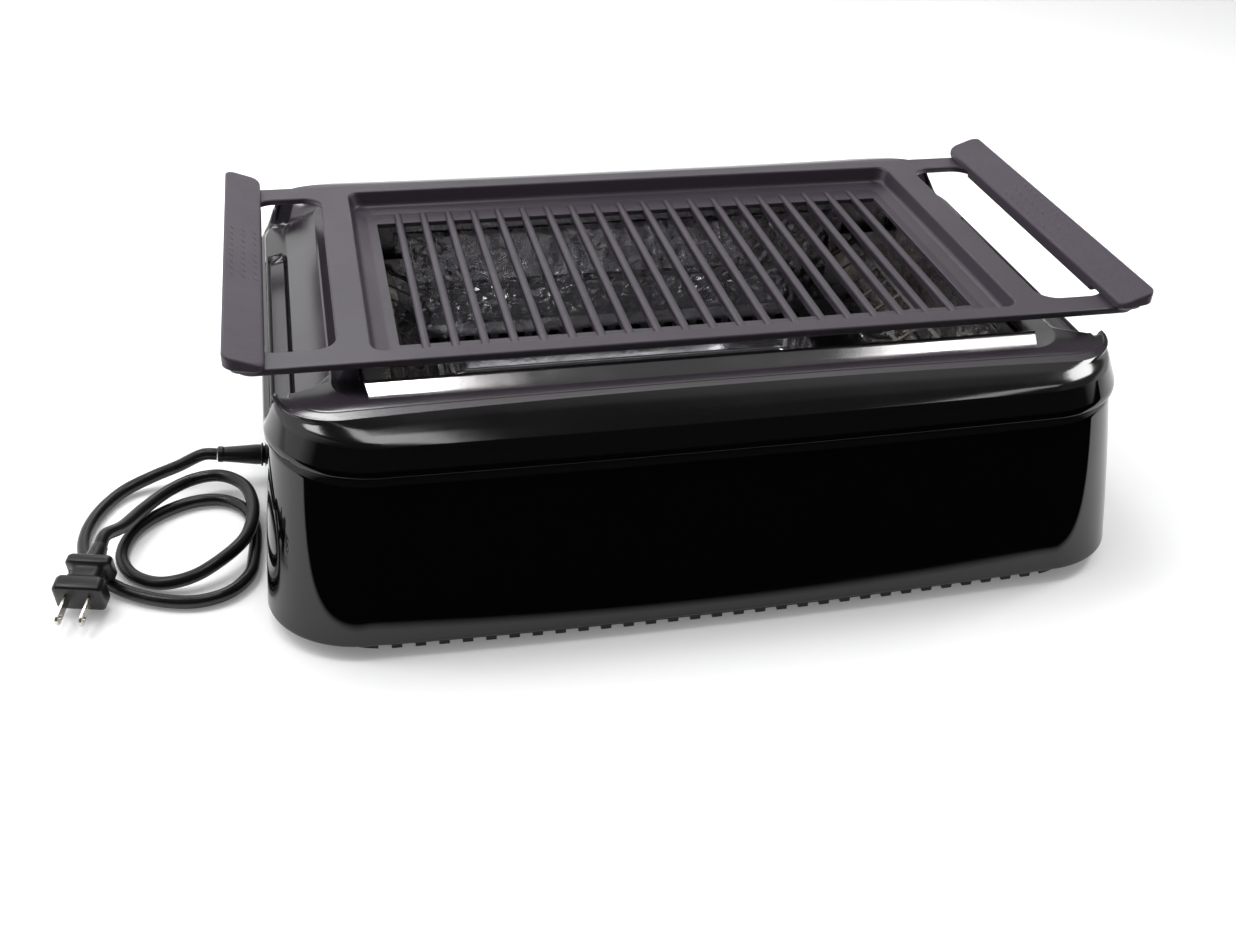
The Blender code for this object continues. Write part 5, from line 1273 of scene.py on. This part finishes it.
def dashRing(level, place, sides=16):
    # one level of a ridge with round ends; its foot sits below the grip's surface
    _, _, length, half, rise = gripSizes["dash"]
    angle = math.pi / 2 * level
    scale = math.cos(angle) * 0.99 + 0.01
    points = []
    for turn in range(sides):
        around = turn * math.tau / sides
        end = math.copysign(length / 2 - half, math.sin(around))
        y = end * scale + half * scale * math.sin(around)
        spot = (half * scale * math.cos(around), y, rise * (1.6 * math.sin(angle) - 0.6))
        points.append(place @ Vector(spot))
    return points


def makeDashes(word, side):
    # columns of small slanted ridges that give the fingers hold
    sizes = gripSizes
    count, pitch, *_ = sizes["dash"]
    slope = math.atan2(sizes["top"][1] - sizes["top"][0], sizes["outer"] - sizes["inner"])
    bm = bmesh.new()
    for x in sizes["dashColumns"]:
        for index in range(count):
            y = sizes["dashMiddle"] + (index - (count - 1) / 2) * pitch
            z = gripHeight(x, sizes["top"])
            place = Matrix.Translation((side * x, y, z)) @ Matrix.Rotation(-side * slope, 4, "Y")
            place = place @ Matrix.Rotation(-side * sizes["dashSlant"], 4, "Z")
            skin([dashRing(level / 4, place) for level in range(5)], True, True, bm=bm)
    addPiece(f"{word}GripDashes", bm, gripPlastic, "grate", (), 60)


for word, side in leftRight:
    makeGrip(word, side)
    makeDashes(word, side)
    for end, _ in frontBack:
        makeScrew(f"{word}{end.capitalize()}GripScrew", f"{word}_handle_screw_{end}", "grate")
print("grips made")


# Liner with its vents

linerSizes = {
    "corner": 6.0 * mm,
    "sheet": 1.0 * mm,
    # count, pitch, width, height and rise; count, pitch, width and depth
    "vents": (23, 11.9 * mm, 6.0 * mm, 6.0 * mm, 15.0 * mm),
    "notches": (27, 12.7 * mm, 6.4 * mm, 3.4 * mm),
    "steps": (10, 60, 40),
}


def makeLiner():
    sizes, steps = linerSizes, linerSizes["steps"]
    halfX, halfY, corner, sheet = linerHigh.x, linerHigh.y, sizes["corner"], sizes["sheet"]
    rings = [
        squareRing(halfX, halfY, corner, linerLow.z, steps),
        squareRing(halfX, halfY, corner, linerHigh.z, steps),
        squareRing(halfX - sheet, halfY - sheet, corner - sheet, linerHigh.z, steps),
        squareRing(halfX - sheet, halfY - sheet, corner - sheet, linerLow.z + sheet, steps),
    ]
    liner = meshObject("liner", skin(rings, True, True))
    cutters = bmesh.new()
    *vents, height, rise = sizes["vents"]
    low = linerLow.z + rise
    addBoxRow(cutters, vents, [(-halfY - over, halfY + over)], low, low + height)
    *notches, depth = sizes["notches"]
    spans = bothSides(halfY - over, halfY + over)
    addBoxRow(cutters, notches, spans, linerHigh.z - depth, linerHigh.z + over)
    cut(liner, cutters)
    addPiece("linerBox", takeMesh(liner), linerSheet, "housing", ["inner_liner"], 30)


makeLiner()
print("liner made")


# Long reflectors, side troughs, guards and heaters

reflectorSizes = {
    "halfX": 155.0 * mm,
    "top": 113.0 * mm,
    "foot": 44.0 * mm,
    "waist": 0.47,
    "lean": 5.0 * mm,
    "fold": 3.0 * mm,
    "sheet": 0.8 * mm,
    "out": 103.5 * mm,
    "dent": 0.35 * mm,
    "cells": 160,
}


def makeLongReflector(word, side):
    # a folded sheet with beads along its folds and small dents all over
    sizes = reflectorSizes
    out, lean, fold = sizes["out"], sizes["lean"], sizes["fold"]
    waist = sizes["foot"] + (sizes["top"] - sizes["foot"]) * sizes["waist"]
    folds = [(out, sizes["top"]), (out - 1.6 * mm, sizes["top"] - 3.2 * mm),
             (out - lean, waist + fold), (out - fold / 2, waist), (out - lean, waist - fold),
             (out, sizes["foot"])]
    path = []
    for a, b in zip(folds, folds[1:]):
        a, b = Vector(a), Vector(b)
        pieces = max(2, int((b - a).length / (1.1 * mm)))
        path += [tuple(a.lerp(b, index / pieces)) for index in range(pieces)]
    path.append(folds[-1])

    def dent(spot, along):
        grain = noise.noise(Vector((along * 420, spot * 30, 5 * side)))
        broad = noise.noise(Vector((along * 60, spot * 5, 9 * side)))
        edge = min(1, 8 * spot, 8 * (1 - spot))
        return sizes["dent"] * edge * (grain * 0.8 + broad)

    bm = bentSheet(path, sizes["sheet"], sizes["halfX"],
                   lambda a, b, along: Vector((along, side * a, b)), sizes["cells"], dent)
    node = f"{word}_reflector"
    addPiece(f"{word}LongReflector", bm, reflectorSheet, "housing", [node], 45)


troughSizes = {
    "radius": 23.5 * mm,
    "heaterX": 163.7 * mm,
    "heaterZ": 76.0 * mm,
    "wrap": math.radians(148),
    "stepDown": 1.6 * mm,
    "steps": (40, 110),
    "sheet": 0.8 * mm,
    "halfY": 95.0 * mm,
    # sheet, reach in front of and below the heater, the cap's hole and half its cutter
    "endPlate": inMm(1.0, 18.8, 14.1, 8.3, 4),
    "dent": 0.5 * mm,
    "guard": (24.0 * mm, math.radians(-32), 15.0 * mm, 9, 2.4 * mm, 2.8 * mm, 0.9 * mm),
    "tube": inMm(5.2, 4.2),
    # radius, wire radius, pitch, bare length at each end and steps in a turn
    "coil": (3.0 * mm, 0.32 * mm, 2.6 * mm, 6 * mm, 12),
    "cap": inMm(8.0, 7.2, 7.0),
}


def makeTrough(word, side):
    # a crumpled sheet bent round the heater, closed by plates that hold the caps
    sizes = troughSizes
    heaterX, heaterZ, reach = sizes["heaterX"], sizes["heaterZ"], sizes["radius"] + sizes["sheet"] / 2
    count = int((troughTop - heaterZ) / sizes["stepDown"])
    path = [(heaterX + reach, troughTop - index * sizes["stepDown"]) for index in range(count)]
    steps, cells = sizes["steps"]
    for step in range(steps + 1):
        angle = -sizes["wrap"] * step / steps
        path.append((heaterX + reach * math.cos(angle), heaterZ + reach * math.sin(angle)))

    def dent(spot, along):
        folds = noise.noise(Vector((along * 160, spot * 9, 31 * side)))
        sharp = abs(noise.noise(Vector((along * 70, spot * 4, 17 * side))))
        return sizes["dent"] * min(1, 6 * spot, 6 * (1 - spot)) * (0.8 * folds + 1.2 * sharp - 0.3)

    bm = bentSheet(path, sizes["sheet"], sizes["halfY"],
                   lambda a, b, along: Vector((side * a, along, b)), cells, dent)
    trough = meshObject("trough", bm)
    plates, holes = bmesh.new(), bmesh.new()
    thick, front, under, hole, holeReach = sizes["endPlate"]
    xs = onSide(side, heaterX - front, heaterX + reach)
    for sign in (-1, 1):
        ys = onSide(sign, sizes["halfY"] - thick, sizes["halfY"])
        addBox(plates, (xs[0], ys[0], heaterZ - under), (xs[1], ys[1], heaterZ + sizes["radius"]))
        turn = Matrix.Translation((side * heaterX, sign * sizes["halfY"], heaterZ)) @ ontoY
        addTurned(holes, [(hole, -holeReach), (hole, holeReach)], turn, 40)
    cut(trough, plates, "UNION")
    cut(trough, holes)
    node = f"{word}_trough_reflector"
    addPiece(f"{word}Trough", takeMesh(trough), troughSheet, "housing", [node], 45)


def makeGuard(word, side):
    # a ladder of bent strip that shields the heater from drips
    width, tilt, off, slots, rib, rail, thick = troughSizes["guard"]
    half = troughSizes["halfY"] - 1.3 * mm
    x = side * (troughSizes["heaterX"] + math.sin(tilt) * off)
    z = troughSizes["heaterZ"] + math.cos(tilt) * off
    place = Matrix.Translation((x, 0, z)) @ Matrix.Rotation(side * tilt, 4, "Y")
    bm = bmesh.new()
    for edge in (-1, 1):
        xs = onSide(edge, width / 2 - rail, width / 2)
        addBox(bm, (xs[0], -half, -thick / 2), (xs[1], half, thick / 2), place)
    pitch = (2 * half - rail) / slots
    for index in range(slots + 1):
        y = -half + index * pitch
        addBox(bm, (-width / 2 + rail / 2, y, -thick / 2 * 0.9),
               (width / 2 - rail / 2, y + (rib if index else rail), thick / 2 * 0.9), place)
    piece = addPiece(f"{word}Guard", bm, guardSheet, "housing", [f"{word}_heater_guard"])
    roundedEdges(piece, 0.25 * mm, 2)


def makeHeater(word):
    # a quartz tube with a coil inside it, held in two ceramic caps
    low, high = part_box(f"{word}_heater_tube")
    at = Vector(((low.x + high.x) / 2, 0, (low.z + high.z) / 2))
    place = Matrix.Translation(at) @ Matrix.Rotation(-math.pi / 2, 4, "X")
    (outer, inner), half = troughSizes["tube"], high.y
    profile = [(inner, -half), (outer - 0.2 * mm, -half), (outer, -half + 0.3 * mm),
               (outer, half - 0.3 * mm), (outer - 0.2 * mm, half), (inner, half)]
    bm = skin(turnedRings(profile, place, 40), closed=True)
    addPiece(f"{word}HeaterTube", bm, quartzGlass, "housing", [f"{word}_heater_tube"], 60)
    radius, wireRadius, pitch, margin, steps = troughSizes["coil"]
    turns = int(2 * (half - margin) / pitch)
    points = []
    for index in range(turns * steps + 1):
        angle = index * math.tau / steps
        y = -(turns * pitch) / 2 + index * pitch / steps
        points.append(at + Vector((radius * math.cos(angle), y, radius * math.sin(angle))))
    mount(wire(f"{word}HeaterCoil", points, wireRadius, coilWire, 1), "housing", ())
    for end, sign in frontBack:
        makeHeaterCap(word, end, at, sign, outer + fit)


def makeHeaterCap(word, end, at, sign, hole):
    node = f"{word}_heater_cap_{end}"
    inside, outside = sorted(abs(corner.y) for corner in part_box(node))
    length = outside - inside
    turn = Matrix.Translation((at.x, sign * inside, at.z)) @ Matrix.Rotation(-sign * math.pi / 2, 4, "X")
    wide, rim, neck = troughSizes["cap"]
    profile = [(hole, 0), (rim, 0), (wide, 0.9 * mm), (wide, 5 * mm), (neck, 5.6 * mm), (neck, 8.4 * mm),
               (wide, 9.0 * mm), (wide, length - 1.2 * mm), (rim, length), (2.0 * mm, length)]
    bm = addTurned(bmesh.new(), roundedProfile(profile, 0.4 * mm), turn, 40)
    addPiece(f"{word}{end.capitalize()}HeaterCap", bm, ceramicWhite, "housing", [node], 40)


for word, side in frontBack[::-1]:
    makeLongReflector(word, side)
for word, side in leftRight:
    makeTrough(word, side)
    makeGuard(word, side)
    makeHeater(word)
print("reflectors, guards and heaters made")


# Drip tray

traySizes = {
    "corner": 16.0 * mm,
    "flare": 4.0 * mm,
    "lip": 3.5 * mm,
    "wall": 1.0 * mm,
    # two steps in from the floor's edge, and how far its middle is raised
    "middle": inMm(5, 12, 0.6),
    "steps": (16, 12, 12),
}


def makeTray():
    low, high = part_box("drip_tray")
    sizes = traySizes
    corner, wall, lip = sizes["corner"], sizes["wall"], sizes["lip"]
    wideX, wideY = high.x - lip, high.y - lip
    flare, (step, inner, up) = sizes["flare"], sizes["middle"]
    # how far in from the mouth's edge, height, rounding
    rows = [
        (flare + inner, low.z + up, 0), (flare + step, low.z, 2 * mm), (flare, low.z, 3 * mm),
        (0, high.z - wall, 1.2 * mm), (-lip, high.z - wall, 0.5 * mm), (-lip, high.z, 0.5 * mm),
        (wall, high.z, 1.4 * mm), (flare + wall, low.z + wall, 3 * mm),
        (flare + step, low.z + wall, 2 * mm), (flare + inner, low.z + up + wall, 0),
    ]
    rings = [squareRing(wideX - inset, wideY - inset, corner, z, sizes["steps"]) for inset, z, _ in rows]
    rings = roundedSection(rings, [row[2] for row in rows], 5)
    addPiece("dripTray", skin(rings, True, True), traySheet, "tray", ["drip_tray"], 50)


makeTray()
print("tray made")


# Switch in the right wall

switchSizes = {
    "z": 60.0 * mm,
    "rest": math.radians(7),
    "bezel": inMm(8.5, 12.5, 2.0, 0.6),
    "well": inMm(5.3, 9.5, 7.0),
    "body": inMm(6.8, 11.0, 20.4),
    "terminal": inMm(6, 0.4, 2.4, 1),
    "proud": 5.4 * mm,
    "crown": 1.6 * mm,
}


def switchPlace(turn=0.0):
    at = Vector((wallX(switchSizes["z"]), 0, switchSizes["z"]))
    return Matrix.Translation(at) @ Matrix.Rotation(-wallLean + turn, 4, "Y")


def makeSwitchHousing():
    # bezel, body with three terminals, and the well that the rocker sits in
    sizes, belly = switchSizes, lead["belly"]
    halfY, halfZ, thick, edge = sizes["bezel"]
    bm = roundedSlab((halfZ, halfY, 2.0 * mm), belly, belly + thick, edge, (8, 4, 4))
    housing = meshObject("switch", bm)
    halfBodyY, halfBodyZ, depth = sizes["body"]
    body = bmesh.new()
    addBox(body, (-halfBodyZ, -halfBodyY, -depth), (halfBodyZ, halfBodyY, belly + thick / 2))
    spacing, halfThick, halfWide, length = sizes["terminal"]
    for offset in (-spacing, 0, spacing):
        low = (offset - halfThick, -halfWide, -depth)
        addBox(body, low, (offset + halfThick, halfWide, -depth + length))
    cut(housing, body, "UNION")
    halfWellY, halfWellZ, wellDepth = sizes["well"]
    size = (halfWellZ, halfWellY, 0.6 * mm)
    cut(housing, flaredHole(bmesh.new(), size, -wellDepth + over, belly + thick, 0.4 * mm, (4, 2, 2)))
    bm = takeMesh(housing)
    bmesh.ops.transform(bm, matrix=switchPlace() @ Matrix.Rotation(math.pi / 2, 4, "Y"), verts=bm.verts)
    evenNormals(addPiece("switchBezel", bm, switchPlastic, "housing", ["switch_housing"], 35))


def makeRocker():
    halfWellY, halfWellZ, _ = switchSizes["well"]
    proud, crown, reach = switchSizes["proud"], switchSizes["crown"], halfWellZ - 0.9 * mm
    root = (-2.6 * mm, reach * 0.55)
    profile = [(root[0], -root[1]), (0, -reach)]
    for step in range(13):
        along = -1 + step / 6
        profile.append((proud - crown + crown * 0.6 * along * along, reach * along))
    profile += [(0, reach), root]
    width = halfWellY - fit
    bm = skin([[Vector((a, side, b)) for a, b in profile] for side in (-width, width)], True, True)
    bmesh.ops.transform(bm, matrix=switchPlace(switchSizes["rest"]), verts=bm.verts)
    rocker = addPiece("switchRocker", bm, switchPlastic, "rocker", ["switch_rocker"], 35)
    roundedEdges(rocker, 0.45 * mm, 3, 50)


makeSwitchHousing()
makeRocker()
print("switch made")


# Hidden wiring keeps its CAD nodes, with finished materials

hiddenFinishes = {
    "terminal_block": ceramicWhite,
    "thermal_cutout": screwSteel,
    "line_lead": cordRubber,
    "neutral_lead": cordRubber,
}
for node, material in hiddenFinishes.items():
    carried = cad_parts[node]
    carried.data.materials.clear()
    carried.data.materials.append(material)


# Floor, surroundings and lamps

stageLook = {
    "floorColour": (0.93, 0.93, 0.94),
    "floorGlow": 0.16,
    "floorHalf": 3.0,
    "floorDrop": 0.2 * mm,
    # what gloss sees: the pale table ends in front of the grill, and the studio beyond it is dark
    "tableEdge": (-0.232, -0.222),
    "roomStrength": (-0.6, 0.4, 0.26, 0.72),
    "ceiling": (0.70, 0.83, 0.07),
    "farRight": (0.28, 0.60, 0.20),
    "farRightHeight": (0.22, 0.40),
    "front": (-0.42, -0.12, 0.05),
}
studioLamps = [
    # place, aim, size, strength of its surface, seen in gloss
    ((-0.30, 0.55, 1.30), (0.0, 0.0, 0.10), (1.30, 0.80), 2.8, False),
    ((-1.25, 0.10, 0.85), (0.0, 0.0, 0.10), (0.60, 0.90), 2.6, False),
    ((-0.28, 0.75, 1.00), (0.0, 0.0, 0.12), (0.26, 0.26), 8.0, True),
    ((-0.717, 0.086, 0.96), (-0.217, -0.144, 0.12), (0.24, 0.24), 10.0, True),
    ((-0.18, -0.02, 1.07), (-0.18, 0.0, 0.10), (0.22, 0.48), 6.0, True),
    ((0.585, -0.16, 1.03), (0.14, -0.12, 0.13), (0.10, 0.22), 4.0, True),
    ((0.862, 0.117, 0.834), (0.202, -0.153, 0.124), (0.28, 0.28), 14.0, True),
]


def seenDirectly(tree):
    # 1 for the rays that should meet the plain background
    path = addNode(tree, "ShaderNodeLightPath")
    seen = maths(tree, "MAXIMUM", path.outputs["Is Camera Ray"], path.outputs["Is Glossy Ray"])
    return maths(tree, "MAXIMUM", seen, path.outputs["Is Transmission Ray"]), path


def makeFloor():
    bm = bmesh.new()
    bmesh.ops.create_grid(bm, x_segments=8, y_segments=8, size=stageLook["floorHalf"])
    mesh = bpy.data.meshes.new("floor")
    bm.to_mesh(mesh)
    bm.free()
    floor = bpy.data.objects.new("floor", mesh)
    bpy.context.scene.collection.objects.link(floor)
    floor.location.z = -stageLook["floorDrop"]
    material, tree, shader = newMaterial("floorPaper", Roughness=0.75, Specular_IOR_Level=0.1)
    shader.inputs["Base Color"].default_value = (*stageLook["floorColour"], 1)
    seen, path = seenDirectly(tree)
    shader.inputs["Emission Color"].default_value = (1, 1, 1, 1)
    drive(tree, shader, Emission_Strength=maths(tree, "MULTIPLY", seen, stageLook["floorGlow"]))
    place = addNode(tree, "ShaderNodeSeparateXYZ", {0: objectPlace(tree)})
    beyond = spread(tree, place.outputs["Y"], *stageLook["tableEdge"], 1.0, 0.0)
    dark = addNode(tree, "ShaderNodeBsdfDiffuse", {"Color": (0, 0, 0, 1)})
    inputs = {0: maths(tree, "MULTIPLY", beyond, path.outputs["Is Glossy Ray"]),
              1: shader.outputs[0], 2: dark.outputs[0]}
    mixed = addNode(tree, "ShaderNodeMixShader", inputs)
    tree.links.new(mixed.outputs[0], tree.nodes["Material Output"].inputs["Surface"])
    mesh.materials.append(material)


def makeRoom():
    # white to the eye, and in reflections at the back and sides; dark overhead and in front
    world = bpy.data.worlds.new("room")
    bpy.context.scene.world = world
    world.use_nodes = True
    tree = world.node_tree
    background = tree.nodes["Background"]
    direction = addNode(tree, "ShaderNodeTexCoord").outputs["Generated"]
    heading = addNode(tree, "ShaderNodeSeparateXYZ", {0: direction})
    seen, path = seenDirectly(tree)
    startUp, endUp, dim = stageLook["ceiling"]
    overhead = spread(tree, heading.outputs["Z"], startUp, endUp, 1.0, dim)
    # the studio's far right corner is dim as well, above the height of the table
    startRight, endRight, dim = stageLook["farRight"]
    corner = maths(tree, "MAXIMUM", spread(tree, heading.outputs["X"], startRight, endRight, 1.0, dim),
                   spread(tree, heading.outputs["Z"], *stageLook["farRightHeight"], 1.0, 0.0))
    overhead = maths(tree, "MINIMUM", overhead, corner)
    startBack, endBack, dim = stageLook["front"]
    behind = spread(tree, heading.outputs["Y"], startBack, endBack, dim, 1.0)
    glossy = maths(tree, "MULTIPLY", path.outputs["Is Glossy Ray"], maths(tree, "MINIMUM", overhead, behind))
    direct = maths(tree, "MAXIMUM", path.outputs["Is Camera Ray"], path.outputs["Is Transmission Ray"])
    room = spread(tree, heading.outputs["Y"], *stageLook["roomStrength"])
    plain = maths(tree, "MULTIPLY", maths(tree, "SUBTRACT", 1.0, seen), room)
    strength = maths(tree, "ADD", maths(tree, "MAXIMUM", glossy, direct), plain)
    background.inputs["Color"].default_value = (1, 1, 1, 1)
    tree.links.new(strength, background.inputs["Strength"])


def makeLamps():
    for index, (place, aim, size, glow, inGloss) in enumerate(studioLamps):
        data = bpy.data.lights.new(f"softLamp{index}", "AREA")
        data.shape = "RECTANGLE"
        data.size, data.size_y = size
        data.energy = glow * math.pi * data.size * data.size_y
        lamp = bpy.data.objects.new(f"softLamp{index}", data)
        lamp.location = place
        lamp.rotation_euler = (Vector(place) - Vector(aim)).to_track_quat("Z", "Y").to_euler()
        lamp.visible_camera = False
        lamp.visible_glossy = inGloss
        bpy.context.scene.collection.objects.link(lamp)


makeFloor()
makeRoom()
makeLamps()
bpy.context.scene.view_settings.view_transform = "Standard"
bpy.context.view_layer.update()
